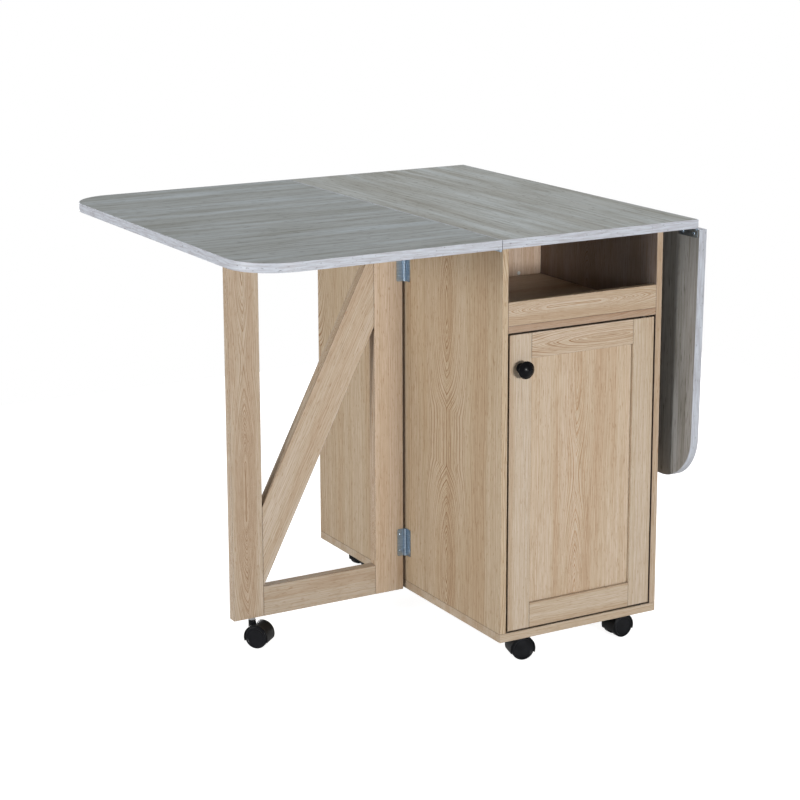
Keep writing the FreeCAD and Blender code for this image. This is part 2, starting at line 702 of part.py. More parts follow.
LEAF_POSES = {
    # side: (degrees about the seam from pointing to +X, mirrored to the left)
    "left": "0",
    "right": "90 + S.hang_lean",
}


def leaf(side):
    """A leaf in the frame of its hinge axis, turned about that axis to where it stands."""
    core, strip = banded_board(f"{side}_leaf", "S.leaf_length", "S.top_depth", True)
    swing = value(LEAF_POSES[side])
    for piece in (core, strip):
        offset = FreeCAD.Vector(value("S.seam_gap / 2"), value("P.top_front"), value("P.knuckle_radius"))
        place_on_leaf_axis(piece, side, swing, offset)
        keep(piece)


def place_on_leaf_axis(piece, side, swing, offset):
    """Place a piece that is drawn for a raised right leaf: offset is its place from the hinge
    axis there. The left side is the same, half a turn round."""
    reach, lift = value("P.leaf_axis_reach"), value("P.leaf_axis_height")
    middle = value("P.cabinet_x")
    own = FreeCAD.Placement(offset, piece.Placement.Rotation)
    swung = FreeCAD.Placement(FreeCAD.Vector(reach, 0, lift), FreeCAD.Rotation(Y_AXIS, swing))
    half_turn = FreeCAD.Rotation(Z_AXIS, 180 if side == "left" else 0)
    cabinet = FreeCAD.Placement(FreeCAD.Vector(middle, 0, 0), half_turn)
    piece.Placement = cabinet * swung * own


# ---------------------------------------------------------------- butt hinges


def hinge_plate(name, moving):
    """Half a butt hinge. Its axis is its own Y axis, from 0 to the hinge's length. The plate
    goes to +X with its mounting face upward, one knuckle radius above the axis. The fixed
    plate has the two outer knuckles, the moving plate the middle one."""
    body = new_body(name)
    radius, length = "P.knuckle_radius", "S.hinge_length"
    outer, gap, edge = "S.outer_knuckle_length", "S.knuckle_gap", "S.hinge_leaf_width"
    clear = f"{radius} + {gap}"
    if moving:
        knuckles = [(f"{outer} + {gap}", f"{length} - {outer} - {gap}")]
        corners = [
            (clear, "0"), (edge, "0"), (edge, length), (clear, length),
            (clear, knuckles[0][1]), ("0", knuckles[0][1]), ("0", knuckles[0][0]),
            (clear, knuckles[0][0]),
        ]
    else:
        knuckles = [("0", outer), (f"{length} - {outer}", length)]
        corners = [
            ("0", "0"), (edge, "0"), (edge, length), ("0", length),
            ("0", knuckles[1][0]), (clear, knuckles[1][0]), (clear, outer), ("0", outer),
        ]
    flat = new_sketch(body, "plate_outline", "XY_Plane", f"{radius} - S.hinge_plate")
    draw_outline(flat, corners)
    pad(body, "plate", flat, "S.hinge_plate")

    def outer_end(edge_):
        middle = edge_.CenterOfMass
        return is_upright(edge_) and middle.x > value(edge) - 1e-6

    fillet(body, "plate_corners", "S.hinge_corner_radius", outer_end)
    for number, (start, end) in enumerate(knuckles, start=1):
        ring = new_sketch(body, f"knuckle_{number}_outline", "XZ_Plane", f"-({start})")
        draw_circles(ring, [("0", "0")], "S.knuckle_diameter")
        pad(body, f"knuckle_{number}", ring, f"{end} - ({start})", reversed_=True)
    bore = new_sketch(body, "bore_outline", "XZ_Plane")
    draw_circles(bore, [("0", "0")], "S.hinge_pin_diameter + 2 * S.running_clearance")
    pocket(body, "bore", bore)
    across = f"({radius} + {edge}) / 2"
    holes = [(across, "S.hinge_screw_inset"), (across, f"{length} - S.hinge_screw_inset")]
    drill(body, "screw_holes", "XY_Plane", holes, "S.hinge_screw_hole", radius, None)
    return body


LEAF_HINGE_ROWS = {
    "front": "P.top_front + S.leaf_hinge_inset",
    "middle": "-S.hinge_length / 2",
    "back": "-P.top_front - S.leaf_hinge_inset - S.hinge_length",
}


def leaf_hinges():
    """Three butt hinges under each seam. The fixed plates and pins belong to the top."""
    fixed = []
    for side, swing_formula in LEAF_POSES.items():
        moving = []
        swing = value(swing_formula)
        for row, start in LEAF_HINGE_ROWS.items():
            at = FreeCAD.Vector(0, value(start), 0)
            plate = hinge_plate(f"{side}_leaf_plate_{row}", True)
            place_on_leaf_axis(plate, side, swing, at)
            moving.append(plate)
            opposite = hinge_plate(f"{side}_top_plate_{row}", False)
            far_end = FreeCAD.Vector(0, value(start) + value("S.hinge_length"), 0)
            opposite.Placement.Rotation = FreeCAD.Rotation(Z_AXIS, 180)
            place_on_leaf_axis(opposite, side, 0, far_end)
            pin = rod(f"{side}_leaf_pin_{row}", "S.hinge_pin_diameter", "S.hinge_length")
            pin.Placement.Rotation = FreeCAD.Rotation(X_AXIS, 90)
            place_on_leaf_axis(pin, side, 0, far_end)
            fixed += [opposite, pin]
        group(f"{side}_leaf_hinge_plates", moving)
    group("top_hinge_plates", fixed)


# ---------------------------------------------------------------- door


def door_stile(side, x):
    """An upright of the door frame, grooved along its inner edge."""
    body = block(
        f"door_stile_{side}", x, "P.front", "P.door_bottom",
        "S.door_frame_width", "S.door_thickness", "P.door_height",
    )
    near, far = "S.door_frame_width - S.groove_depth", "S.door_frame_width"
    if side == "right":
        near, far = "0", "S.groove_depth"
    front = "S.door_panel_recess - S.groove_clearance"
    back = "S.door_panel_recess + S.door_panel_thickness + S.groove_clearance"
    sketch = new_sketch(body, "groove_section", "XY_Plane")
    draw_outline(sketch, box_corners(near, front, far, back))
    pocket(body, "panel_groove", sketch, None, True)
    if side == "right":
        axis = [("S.door_frame_width - S.pivot_inset", "S.door_thickness / 2")]
        hole = "S.bush_diameter"
        depth = "S.pivot_reach + S.hole_spare"
        drill(body, "lower_bush_hole", "XY_Plane", axis, hole, "0", depth, True)
        drill(body, "upper_bush_hole", "XY_Plane", axis, hole, "P.door_height", depth)
    else:
        screw = [("S.door_frame_width / 2", "P.door_height - S.knob_drop")]
        hole = "S.knob_screw_diameter + 2 * S.hole_clearance"
        drill(body, "knob_hole", "XZ_Plane", screw, hole, "0", None)
    return keep(body)


def door_rail(label, z, groove_low):
    """A cross member of the door frame: a tongue at each end stands in the stiles' grooves,
    and a groove along the inner edge holds the panel."""
    body = block(
        label, "P.door_left + S.door_frame_width", "P.front", z,
        "P.rail_span", "S.door_thickness", "S.door_frame_width",
    )
    tongue_front, tongue_back = "S.door_panel_recess", "S.door_panel_recess + S.door_panel_thickness"
    reach = "S.groove_depth - S.panel_float"
    for end, x0, x1 in (
        ("left", f"-({reach})", "0"),
        ("right", "P.rail_span", f"P.rail_span + {reach}"),
    ):
        sketch = new_sketch(body, f"{end}_tongue_section", "XY_Plane")
        draw_outline(sketch, box_corners(x0, tongue_front, x1, tongue_back))
        pad(body, f"{end}_tongue", sketch, "S.door_frame_width")
    front = "S.door_panel_recess - S.groove_clearance"
    back = "S.door_panel_recess + S.door_panel_thickness + S.groove_clearance"
    high = f"{groove_low} + S.groove_depth"
    sketch = new_sketch(body, "groove_section", "YZ_Plane", f"-({reach}) - 1")
    draw_outline(sketch, box_corners(front, groove_low, back, high))
    pocket(body, "panel_groove", sketch, f"P.rail_span + 2 * ({reach}) + 2", True)
    return keep(body)


def door():
    door_stile("left", "P.door_left")
    door_stile("right", "P.door_left + P.door_width - S.door_frame_width")
    door_rail("door_rail_bottom", "P.door_bottom", "S.door_frame_width - S.groove_depth")
    door_rail("door_rail_top", "P.door_top - S.door_frame_width", "0")
    overlap = "S.groove_depth - S.panel_float"
    keep(block(
        "door_panel", f"P.door_left + S.door_frame_width - ({overlap})",
        "P.front + S.door_panel_recess", f"P.door_bottom + S.door_frame_width - ({overlap})",
        f"P.rail_span + 2 * ({overlap})", "S.door_panel_thickness",
        f"P.door_height - 2 * S.door_frame_width + 2 * ({overlap})",
    ))
    door_knob()
    knob_screw()
    door_pivots()
    door_catch()


def door_knob():
    """A turned mushroom knob, its foot at its own origin, its axis along -Y."""
    body = new_body("door_knob")
    sketch = new_sketch(body, "profile", "XZ_Plane")
    cap, neck, foot = "S.knob_diameter / 2", "S.knob_neck_diameter / 2", "S.knob_foot_diameter / 2"
    flare = "S.knob_height - S.knob_cap_thickness"
    draw_outline(sketch, [
        ("0", "0"), (foot, "0"), (foot, "S.knob_foot_thickness / 2"),
        (neck, "S.knob_foot_thickness"), (neck, flare),
        (cap, f"{flare} + S.knob_cap_thickness / 3"),
        (cap, f"{flare} + S.knob_cap_thickness / 2"),
        ("S.knob_crown_diameter / 2", "S.knob_height - S.knob_crown_rise"), ("0", "S.knob_height"),
    ])
    revolve(body, "turned", sketch, "Z_Axis")

    def on_cap(edge):
        at = edge.BoundBox.ZMin
        low, high = value(flare) + 0.5, value("S.knob_height") - 0.5
        return isinstance(edge.Curve, Part.Circle) and edge.BoundBox.ZLength < 1e-6 and low < at < high

    fillet(body, "cap_rounding", "S.knob_cap_thickness / 8", on_cap)
    hole = "S.knob_screw_diameter + 2 * S.hole_clearance"
    drill(body, "screw_hole", "XY_Plane", [("0", "0")], hole, "0", "S.knob_screw_bite + S.hole_spare", True)
    turn(body, X_AXIS, "90")
    put(body, "P.knob_x", "P.front", "P.knob_z")
    return keep(body)


def knob_screw():
    """The screw through the stile into the knob, its head on the back of the door."""
    body = new_body("knob_screw")
    sketch = new_sketch(body, "profile", "XZ_Plane")
    head, shank = "S.knob_screw_head / 2", "S.knob_screw_diameter / 2"
    head_height = "S.knob_screw_head_height"
    reach = "S.door_thickness + S.knob_screw_bite"
    draw_outline(sketch, [
        ("0", f"-{head_height}"), (head, f"-{head_height}"), (head, "0"), (shank, "0"),
        (shank, reach), ("0", reach),
    ])
    revolve(body, "turned", sketch, "Z_Axis")
    fillet(
        body, "head_rounding", "S.knob_screw_head_rounding",
        lambda edge: edge.BoundBox.ZMax < -1 and edge.BoundBox.XLength > 1,
    )
    turn(body, X_AXIS, "90")
    put(body, "P.knob_x", "P.front + S.door_thickness", "P.knob_z")
    return keep(body)


def door_pivots():
    """Two steel pins, in the base board and in the cubby floor, and the bushes that turn on
    them in the ends of the right stile."""
    length = "S.pivot_embed + S.door_gap + S.pivot_reach"
    pins = []
    for end, z in (
        ("lower", "P.base_top - S.pivot_embed"),
        ("upper", "P.cubby_under - S.door_gap - S.pivot_reach"),
    ):
        pin = rod(f"pivot_pin_{end}", "S.pivot_diameter", length)
        put(pin, "P.pivot_x", "P.pivot_y", z)
        pins.append(pin)
    group("door_pivot_pins", pins)
    bushes = []
    for end, z, flip in (("lower", "P.door_bottom", "0"), ("upper", "P.door_top", "180")):
        bush = door_bush(f"bush_{end}")
        turn(bush, X_AXIS, flip)
        put(bush, "P.pivot_x", "P.pivot_y", z)
        bushes.append(bush)
    group("door_pivot_bushes", bushes)


def door_bush(name):
    """A flanged bush: sleeve upward into the door, washer below the door's edge."""
    body = new_body(name)
    sketch = new_sketch(body, "profile", "XZ_Plane")
    bore = "S.pivot_diameter / 2 + S.running_clearance"
    flange = "S.bush_flange_diameter / 2"
    draw_outline(sketch, [
        (bore, "-S.bush_flange_thickness"), (flange, "-S.bush_flange_thickness"), (flange, "0"),
        ("S.bush_diameter / 2", "0"), ("S.bush_diameter / 2", "S.pivot_reach + S.hole_spare / 2"),
        (bore, "S.pivot_reach + S.hole_spare / 2"),
    ])
    revolve(body, "turned", sketch, "Z_Axis")
    return body


def door_catch():
    """A magnetic catch under the cubby floor and its steel plate on the door."""
    catch_x = "P.inner_left + S.catch_inset"
    catch_y = "P.front + S.door_thickness + S.strike_thickness + S.touch_gap"
    body = block(
        "magnetic_catch", catch_x, catch_y, "P.cubby_under - S.catch_height",
        "S.catch_length", "S.catch_depth", "S.catch_height",
    )
    fillet(
        body, "rounded_ends", "S.catch_corner_radius",
        lambda edge: is_upright(edge) and edge.CenterOfMass.y > value("S.catch_depth") - 1e-6,
    )
    keep(body)
    middle = "(S.catch_length - S.strike_length) / 2"
    low = "P.cubby_under - S.catch_height / 2 - S.strike_height / 2 - S.door_gap"
    keep(block(
        "catch_plate", f"{catch_x} + {middle}", "P.front + S.door_thickness", low,
        "S.strike_length", "S.strike_thickness", "S.strike_height",
    ))


# ---------------------------------------------------------------- gates

GATES = {
    # side: (axis x, axis y, degrees from the open left gate's direction)
    "left": ("P.left_gate_x", "P.left_gate_y", "0"),
    "right": ("P.right_gate_x", "P.right_gate_y", "270"),
}


def gate_piece(body, side, x, y, z):
    """Place a piece drawn for the open left gate, at x, y, z from the foot of its axis. The
    right gate is the same one turned: it folds back along the right side panel."""
    axis_x, axis_y, degrees = GATES[side]
    foot = FreeCAD.Vector(value(axis_x), value(axis_y), value("S.caster_height"))
    gate = FreeCAD.Placement(foot, FreeCAD.Rotation(Z_AXIS, value(degrees)))
    own = FreeCAD.Placement(
        FreeCAD.Vector(value(x), value(y), value(z)), body.Placement.Rotation
    )
    body.Placement = gate * own
    return body


def member(label, side, x, z, width, height):
    """A straight member of a gate: its front face is one knuckle radius behind the axis."""
    body = block(label, "0", "0", "0", width, "S.gate_thickness", height)
    for axis in "xyz":
        body.setExpression(f".Placement.Base.{axis}", None)
    return gate_piece(body, side, x, "P.knuckle_radius", z)


def gate(side):
    outer = member(
        f"{side}_gate_outer_post", side, "-P.gate_outer", "0", "S.gate_post_width", "P.gate_height"
    )
    stem_at = [("S.gate_stem_inset", "S.gate_thickness / 2")]
    stem_hole = "S.stem_thread_diameter + 2 * S.hole_clearance"
    drill(outer, "stem_hole", "XY_Plane", stem_at, stem_hole, "0", "S.stem_embed + S.hole_spare", True)
    keep(outer)
    inner_start = "-(P.gate_inner + S.gate_post_width)"
    keep(member(
        f"{side}_gate_inner_post", side, inner_start, "0", "S.gate_post_width", "P.gate_height"
    ))
    rail_x = "-P.gate_outer + S.gate_post_width"
    rail_width = "S.gate_width - 2 * S.gate_post_width"
    rails = []
    for end, z, height in (
        ("bottom", "0", "S.gate_rail_height"),
        ("top", "P.gate_height - S.gate_top_rail_height", "S.gate_top_rail_height"),
    ):
        rails.append(member(f"{side}_gate_{end}_rail", side, rail_x, z, rail_width, height))
    group(f"{side}_gate_rails", rails)
    keep(gate_brace(side, rail_x, rail_width))
    keep(glide(side))


def gate_brace(side, rail_x, rail_width):
    """The diagonal: a band from the low outer corner of the opening to its high inner corner,
    its ends cut upright against the posts. The band's lower edge starts in one corner and its
    upper edge ends in the other, so its slope follows from its width."""
    body = new_body(f"{side}_gate_brace")
    across, brace = value(rail_width), value("S.gate_brace_width")
    rise = value("P.gate_height - S.gate_rail_height - S.gate_top_rail_height")
    root = math.sqrt(rise**2 + across**2 - brace**2)
    slope = (rise * across - brace * root) / (across**2 - brace**2)
    end_cut = rise - slope * across
    sketch = new_sketch(body, "outline", "XZ_Plane")
    draw_outline(sketch, [
        ("0", "0"), (rail_width, str(rise - end_cut)), (rail_width, str(rise)), ("0", str(end_cut)),
    ])
    pad(body, "band", sketch, "S.gate_thickness", reversed_=True)
    return gate_piece(body, side, rail_x, "P.knuckle_radius", "S.gate_rail_height")


def glide(side):
    """A turned glide on the upper edge of the gate, which the raised leaf lies on."""
    body = new_body(f"{side}_gate_glide")
    sketch = new_sketch(body, "outline", "XY_Plane")
    draw_circles(sketch, [("0", "0")], "S.glide_diameter")
    pad(body, "disc", sketch, "S.gate_drop - S.touch_gap")
    fillet(body, "rim", "S.glide_edge_radius", lambda edge: edge.BoundBox.ZMin > 1)
    middle = "P.knuckle_radius + S.gate_thickness / 2"
    return gate_piece(body, side, "-P.gate_outer + S.glide_inset", middle, "P.gate_height")


def gate_hinges():
    """Two butt hinges in the corner between each gate and its side panel. The fixed plates
    and the pins belong to the cabinet."""
    heights = ("S.gate_hinge_low", "P.gate_height - S.gate_hinge_high - S.hinge_length")
    fixed = []
    axis_up = FreeCAD.Rotation(X_AXIS, 90)
    axis_down = FreeCAD.Rotation(X_AXIS, -90)
    for side, (axis_x, axis_y, degrees) in GATES.items():
        moving = []
        foot = FreeCAD.Vector(value(axis_x), value(axis_y), value("S.caster_height"))
        along_gate = FreeCAD.Rotation(Z_AXIS, value(degrees) + 180) * axis_up
        along_panel = FreeCAD.Rotation(Z_AXIS, -90 if side == "left" else 90) * axis_down
        for number, height in enumerate(heights, start=1):
            low_end = foot + FreeCAD.Vector(0, 0, value(height))
            high_end = low_end + FreeCAD.Vector(0, 0, value("S.hinge_length"))
            plate = hinge_plate(f"{side}_gate_plate_{number}", True)
            plate.Placement = FreeCAD.Placement(low_end, along_gate)
            moving.append(plate)
            panel = hinge_plate(f"{side}_panel_plate_{number}", False)
            panel.Placement = FreeCAD.Placement(high_end, along_panel)
            pin = rod(f"{side}_gate_pin_{number}", "S.hinge_pin_diameter", "S.hinge_length")
            pin.Placement.Base = low_end
            fixed += [panel, pin]
        group(f"{side}_gate_hinge_plates", moving)
    group("cabinet_hinge_plates", fixed)


# ---------------------------------------------------------------- casters

CASTER_YAW = {
    # degrees from +X to the side that the wheels trail on
    "front_left": -15,
    "front_right": 3,
    "back_left": 20,
    "back_right": -25,
    "left_gate": -48,
    "right_gate": 75,
}


def caster_foot(name):
    """The point on the floor under a caster's stem."""
    if name in CASTER_SPOTS:
        x, y = CASTER_SPOTS[name]
        return FreeCAD.Vector(value(f"P.left_face + {x}"), value(f"P.front + {y}"), 0)
    axis_x, axis_y, degrees = GATES[name.split("_")[0]]
    reach = FreeCAD.Vector(
        value("-P.gate_outer + S.gate_stem_inset"), value("P.knuckle_radius + S.gate_thickness / 2"), 0
    )
    turned = FreeCAD.Rotation(Z_AXIS, value(degrees)).multVec(reach)
    return FreeCAD.Vector(value(axis_x), value(axis_y), 0) + turned


def caster_stem(name):
    """A steel stem: a pin for the hood, a six-sided collar under the board and a threaded
    end in the board. Its axis is Z, its own origin on the floor."""
    body = new_body(name)
    sketch = new_sketch(body, "collar_outline", "XY_Plane", "P.nut_under")
    flat_to_corner = 1 / math.cos(math.pi / 6)
    corners = []
    for corner in range(6):
        x, y = math.cos(corner * math.pi / 3), math.sin(corner * math.pi / 3)
        reach = f"S.stem_nut_width / 2 * {flat_to_corner:.6f}"
        corners.append((f"{reach} * {x:.6f}", f"{reach} * {y:.6f}"))
    draw_outline(sketch, corners)
    pad(body, "collar", sketch, "S.stem_nut_height")
    thread = new_sketch(body, "thread_outline", "XY_Plane", "S.caster_height")
    draw_circles(thread, [("0", "0")], "S.stem_thread_diameter")
    pad(body, "thread", thread, "S.stem_embed")
    pin = new_sketch(body, "pin_outline", "XY_Plane", "P.nut_under")
    draw_circles(pin, [("0", "0")], "S.stem_pin_diameter")
    pad(body, "pin", pin, "S.stem_pin_length", reversed_=True)
    body.Placement.Base = caster_foot(name.replace("stem_", ""))
    return body


def caster_hood(name):
    """The swivelling hood over a pair of wheels. In its own frame the stem's axis is Z and
    the axle, along Y, trails on +X. The body's origin is on the axle."""
    body = new_body(f"caster_hood_{name}")
    half, radius, bore = "P.hood_half_width", "P.hood_radius", "P.hood_bore"
    shell = new_sketch(body, "shell_section", "YZ_Plane")
    draw_outline(shell, box_corners(f"-({half})", "0", half, radius))
    revolve(body, "shell", shell, "Y_Axis", "S.hood_angle", midplane=True)
    radius_now = value(radius)
    fillet(
        body, "rims", "S.hood_rim_radius",
        lambda edge: isinstance(edge.Curve, Part.Circle) and edge.Curve.Radius > radius_now - 0.01,
    )
    neck_top = "P.nut_under - S.touch_gap - P.wheel_radius"
    neck = new_sketch(body, "neck_outline", "XY_Plane", neck_top)
    draw_circles(neck, [("-S.caster_trail", "0")], "S.hood_neck_diameter")
    pad(body, "neck", neck, f"{neck_top} - P.wheel_radius / 2", reversed_=True)
    web, beyond = "S.hood_web / 2", f"{half} + 1"
    for side, start, end in (("left", web, beyond), ("right", f"-({beyond})", f"-{web}")):
        space = new_sketch(body, f"{side}_wheel_space", "YZ_Plane")
        draw_outline(space, box_corners(start, "0", end, bore))
        groove(body, f"{side}_wheel_cut", space, "Y_Axis")
    boss = new_sketch(body, "boss_outline", "XZ_Plane")
    draw_circles(boss, [("0", "0")], "S.hood_boss_diameter")
    pad(body, "boss", boss, "S.hood_web", midplane=True)
    axle = "S.axle_diameter + 2 * S.running_clearance"
    axle_hole = new_sketch(body, "axle_outline", "XZ_Plane")
    draw_circles(axle_hole, [("0", "0")], axle)
    pocket(body, "axle_hole", axle_hole, "S.hood_web + 2", midplane=True)
    stem = "S.stem_pin_diameter + 2 * S.running_clearance"
    depth = "S.stem_pin_length - S.touch_gap + S.hole_spare / 2"
    drill(body, "stem_hole", "XY_Plane", [("-S.caster_trail", "0")], stem, neck_top, depth)
    return keep(place_caster(body, name))


def caster_wheels(name):
    """Twin wheels pressed on their axle, with dished outer faces."""
    label = f"caster_wheels_{name}"
    members = []
    for side in ("near", "far"):
        wheel = new_body(f"{label}_{side}")
        sketch = new_sketch(wheel, "section", "YZ_Plane")
        start, end = "P.wheel_start", "P.wheel_start + S.wheel_width"
        bore, tread = "S.axle_diameter / 2", "P.wheel_radius"
        rim = f"{tread} - S.wheel_rim_width"
        dish = f"{end} - S.wheel_dish_depth"
        draw_outline(sketch, [
            (start, bore), (start, tread), (end, tread), (end, rim),
            (dish, f"{rim} - S.wheel_dish_depth"), (dish, bore),
        ])
        revolve(wheel, "turned", sketch, "Y_Axis")

        def on_tread(edge):
            box = edge.BoundBox
            return box.XLength > 2 * value(tread) - 0.01

        fillet(wheel, "tread_edges", "S.wheel_edge_radius", on_tread)
        turned = FreeCAD.Rotation(Z_AXIS, 180 if side == "far" else 0)
        wheel.Placement = caster_placement(name) * FreeCAD.Placement(FreeCAD.Vector(0, 0, 0), turned)
        members.append(wheel)
    reach = "P.wheel_start + S.wheel_width - S.wheel_dish_depth"
    axle = rod(f"{label}_axle", "S.axle_diameter", f"2 * ({reach})")
    along = FreeCAD.Placement(FreeCAD.Vector(0, value(reach), 0), FreeCAD.Rotation(X_AXIS, 90))
    axle.Placement = caster_placement(name) * along
    members.append(axle)
    return group(label, members)


def caster_placement(name):
    """The frame of a caster's axle."""
    yaw = FreeCAD.Rotation(Z_AXIS, CASTER_YAW[name])
    stem = FreeCAD.Placement(caster_foot(name), yaw)
    axle = FreeCAD.Vector(value("S.caster_trail"), 0, value("P.wheel_radius"))
    return stem * FreeCAD.Placement(axle, FreeCAD.Rotation())


def place_caster(body, name):
    body.Placement = caster_placement(name)
    return body


def casters():
    group("caster_stems", [caster_stem(f"stem_{name}") for name in CASTER_SPOTS])
    for side in GATES:
        stem = caster_stem(f"stem_{side}_gate")
        stem.Label = f"{side}_gate_caster_stem"
        keep(stem)
    for name in CASTER_YAW:
        caster_hood(name)
        caster_wheels(name)


# ---------------------------------------------------------------- build and write


def build():
    base_board()
    side_panel("side_panel_left", "P.left_face", "S.side_thickness", False)
    side_panel("side_panel_right", "P.right_face - S.side_thickness", "0", True)
    shelves_and_walls()
    shelf_pins()
    carcass_screws()
    top_brackets()
    centre_top()
    leaf("left")
    leaf("right")
    leaf_hinges()
    door()
    gate("left")
    gate("right")
    gate_hinges()
    casters()
    doc.recompute()


def check():
    """Every object up to date and every sub-part a sound shape, before anything is written."""
    failed = [o.Name for o in doc.Objects if "Invalid" in o.State or "Error" in o.State]
    if failed:
        raise RuntimeError(f"failed objects: {failed}")
    for node in nodes:
        if node.Shape.isNull() or not node.Shape.isValid():
            raise RuntimeError(f"unsound shape: {node.Label}")


def write():
    os.makedirs(PARTS_FOLDER, exist_ok=True)
    for node in nodes:
        node.Shape.exportStep(f"{PARTS_FOLDER}/{node.Label}.step")
    print(f"{len(nodes)} sub-parts written")


build()
check()
write()
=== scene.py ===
import math

import bpy
from mathutils import Matrix, Vector


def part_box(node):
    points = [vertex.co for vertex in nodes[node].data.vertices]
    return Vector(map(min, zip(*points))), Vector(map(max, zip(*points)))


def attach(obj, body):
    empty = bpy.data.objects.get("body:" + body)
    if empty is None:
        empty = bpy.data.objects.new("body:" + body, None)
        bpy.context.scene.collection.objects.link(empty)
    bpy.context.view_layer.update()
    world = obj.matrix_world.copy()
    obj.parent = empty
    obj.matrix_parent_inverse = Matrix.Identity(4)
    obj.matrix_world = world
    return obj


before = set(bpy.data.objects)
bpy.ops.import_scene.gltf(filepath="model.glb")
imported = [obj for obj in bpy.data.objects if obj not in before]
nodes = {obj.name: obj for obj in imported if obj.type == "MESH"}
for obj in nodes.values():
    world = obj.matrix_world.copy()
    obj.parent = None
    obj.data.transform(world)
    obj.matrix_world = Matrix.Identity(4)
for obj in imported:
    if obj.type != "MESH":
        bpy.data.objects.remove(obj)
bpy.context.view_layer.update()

MM = 0.001

# ---------------------------------------------------------------- sizes, in millimetres

BOARD_EDGE = 0.7             # rounding of a board's edge band, which makes the seams show
EDGE_LINE = 1.4              # reach of the dark line along a board's edges
GAP_REACH = 6                # how near a facing board must be for the painted shade in a gap
ROUND_SIDES = 32             # flats round a screw head or a cover cap

HINGE_LENGTH = 50
HINGE_PLATE = 1.2
HOLE_FROM_END = 10           # end of a hinge plate to its screw hole
HOLE_FROM_EDGE = 6.25        # free edge of a hinge plate to its screw hole
HOLE_FROM_BARREL = 11.25     # far side of the knuckles to the same hole

SCREW_HEAD = 6.4             # across the head of a hinge screw
SCREW_RISE = 0.4             # half the height of that head
HEAD_TAPER = 0.86            # top of the head, as a share of its foot
HEAD_RIM = 0.2               # flat ring round the crown, as a share of the diameter
CROWN_LIFT = 0.25            # rise of the crown, as a share of the height
RECESS_LENGTH = 0.55         # arms of the cross recess, as shares of the diameter
RECESS_WIDTH = 0.15
RECESS_LEVEL = 0.75          # middle of the cutting bar, as a share of the height

BRACKET_FLANGE = 2
BRACKET_HOLE = 13.5          # corner of an angle bracket to its two holes
BRACKET_WIDTH = 18

CAP_DIAMETER = 7
CAP_RISE = 1.2
CAP_ROUNDING = 0.72
CAP_SUNK = 0.24              # how deep the back of a cover cap lies in the board
CAP_HEIGHT = 5               # cubby floor to the middle of a cover cap
CAP_SPREAD = 100             # middle of the cabinet to each cap

KNOB_DOME = 20               # radius of the knob's crown
KNOB_DOME_REACH = 9          # middle of the knob to the rim of that crown

HANG_LEAN = math.radians(1)  # the hanging leaf leans out by this much
BRACE_CLIMB = 1.968          # how far a gate's diagonal goes up for each millimetre across
BRACE_LEAN = math.atan(1 / BRACE_CLIMB)


# ---------------------------------------------------------------- material helpers


def linear(hex_colour):
    """An sRGB hex colour as linear red, green, blue and alpha."""
    channels = [int(hex_colour[i:i + 2], 16) / 255 for i in (1, 3, 5)]
    return [c / 12.92 if c <= 0.04045 else ((c + 0.055) / 1.055) ** 2.4 for c in channels] + [1]


def add(tree, kind, inputs=None, stops=None, **settings):
    """Adds a node with its settings, its inputs (a value or the socket to link from) and, on a
    colour ramp, its stops as (position, hex colour)."""
    new = tree.nodes.new(kind)
    for name, setting in settings.items():
        setattr(new, name, setting)
    for name, value in (inputs or {}).items():
        if isinstance(value, bpy.types.NodeSocket):
            tree.links.new(value, new.inputs[name])
        else:
            new.inputs[name].default_value = value
    if stops:
        ramp = new.color_ramp.elements
        while len(ramp) < len(stops):
            ramp.new(0.5)
        for element, (position, colour) in zip(ramp, stops):
            element.position = position
            element.color = linear(colour)
    return new


def new_material(name, **surface):
    """A material with its shader, whose constant values are given by socket name."""
    material = bpy.data.materials.new(name)
    material.use_nodes = True
    tree = material.node_tree
    tree.nodes.clear()
    shader = add(tree, "ShaderNodeBsdfPrincipled", surface)
    add(tree, "ShaderNodeOutputMaterial", {"Surface": shader.outputs[0]})
    return material, tree, shader


def grain(tree, board, per_metre, **noise):
    """Cloudy grain, from 0 to 1, with so many clouds to the metre across, through and along the
    board: a high number across and a low one along make streaks."""
    stretched = add(tree, "ShaderNodeVectorMath", {0: board, 1: per_metre}, operation="MULTIPLY")
    clouds = add(tree, "ShaderNodeTexNoise", {"Vector": stretched.outputs[0], "Scale": 1, **noise})
    return clouds.outputs["Fac"]


def print_over(tree, colour, streaks, stops):
    """Prints grain over a colour: each stop is a grain value and the ink that goes on there."""
    ink = add(tree, "ShaderNodeValToRGB", {"Fac": streaks}, stops)
    printed = add(tree, "ShaderNodeMix", {0: 1.0, 6: colour, 7: ink.outputs[0]},
                  data_type="RGBA", blend_type="MULTIPLY")
    return printed.outputs[2]


def satin(tree, shader, streaks, low, high, least=0.3, most=0.7):
    """Roughness from low to high, where the grain goes from least to most."""
    sheen = add(tree, "ShaderNodeMapRange", {
        "Value": streaks, "From Min": least, "From Max": most, "To Min": low, "To Max": high})
    tree.links.new(sheen.outputs[0], shader.inputs["Roughness"])


def emboss(tree, shader, height, strength, depth):
    """Presses grain into the surface, depth in millimetres. Gives the bent normal."""
    bump = add(tree, "ShaderNodeBump", {
        "Height": height, "Strength": strength, "Distance": depth * MM})
    tree.links.new(bump.outputs[0], shader.inputs["Normal"])
    return bump.outputs[0]


# ---------------------------------------------------------------- light oak board

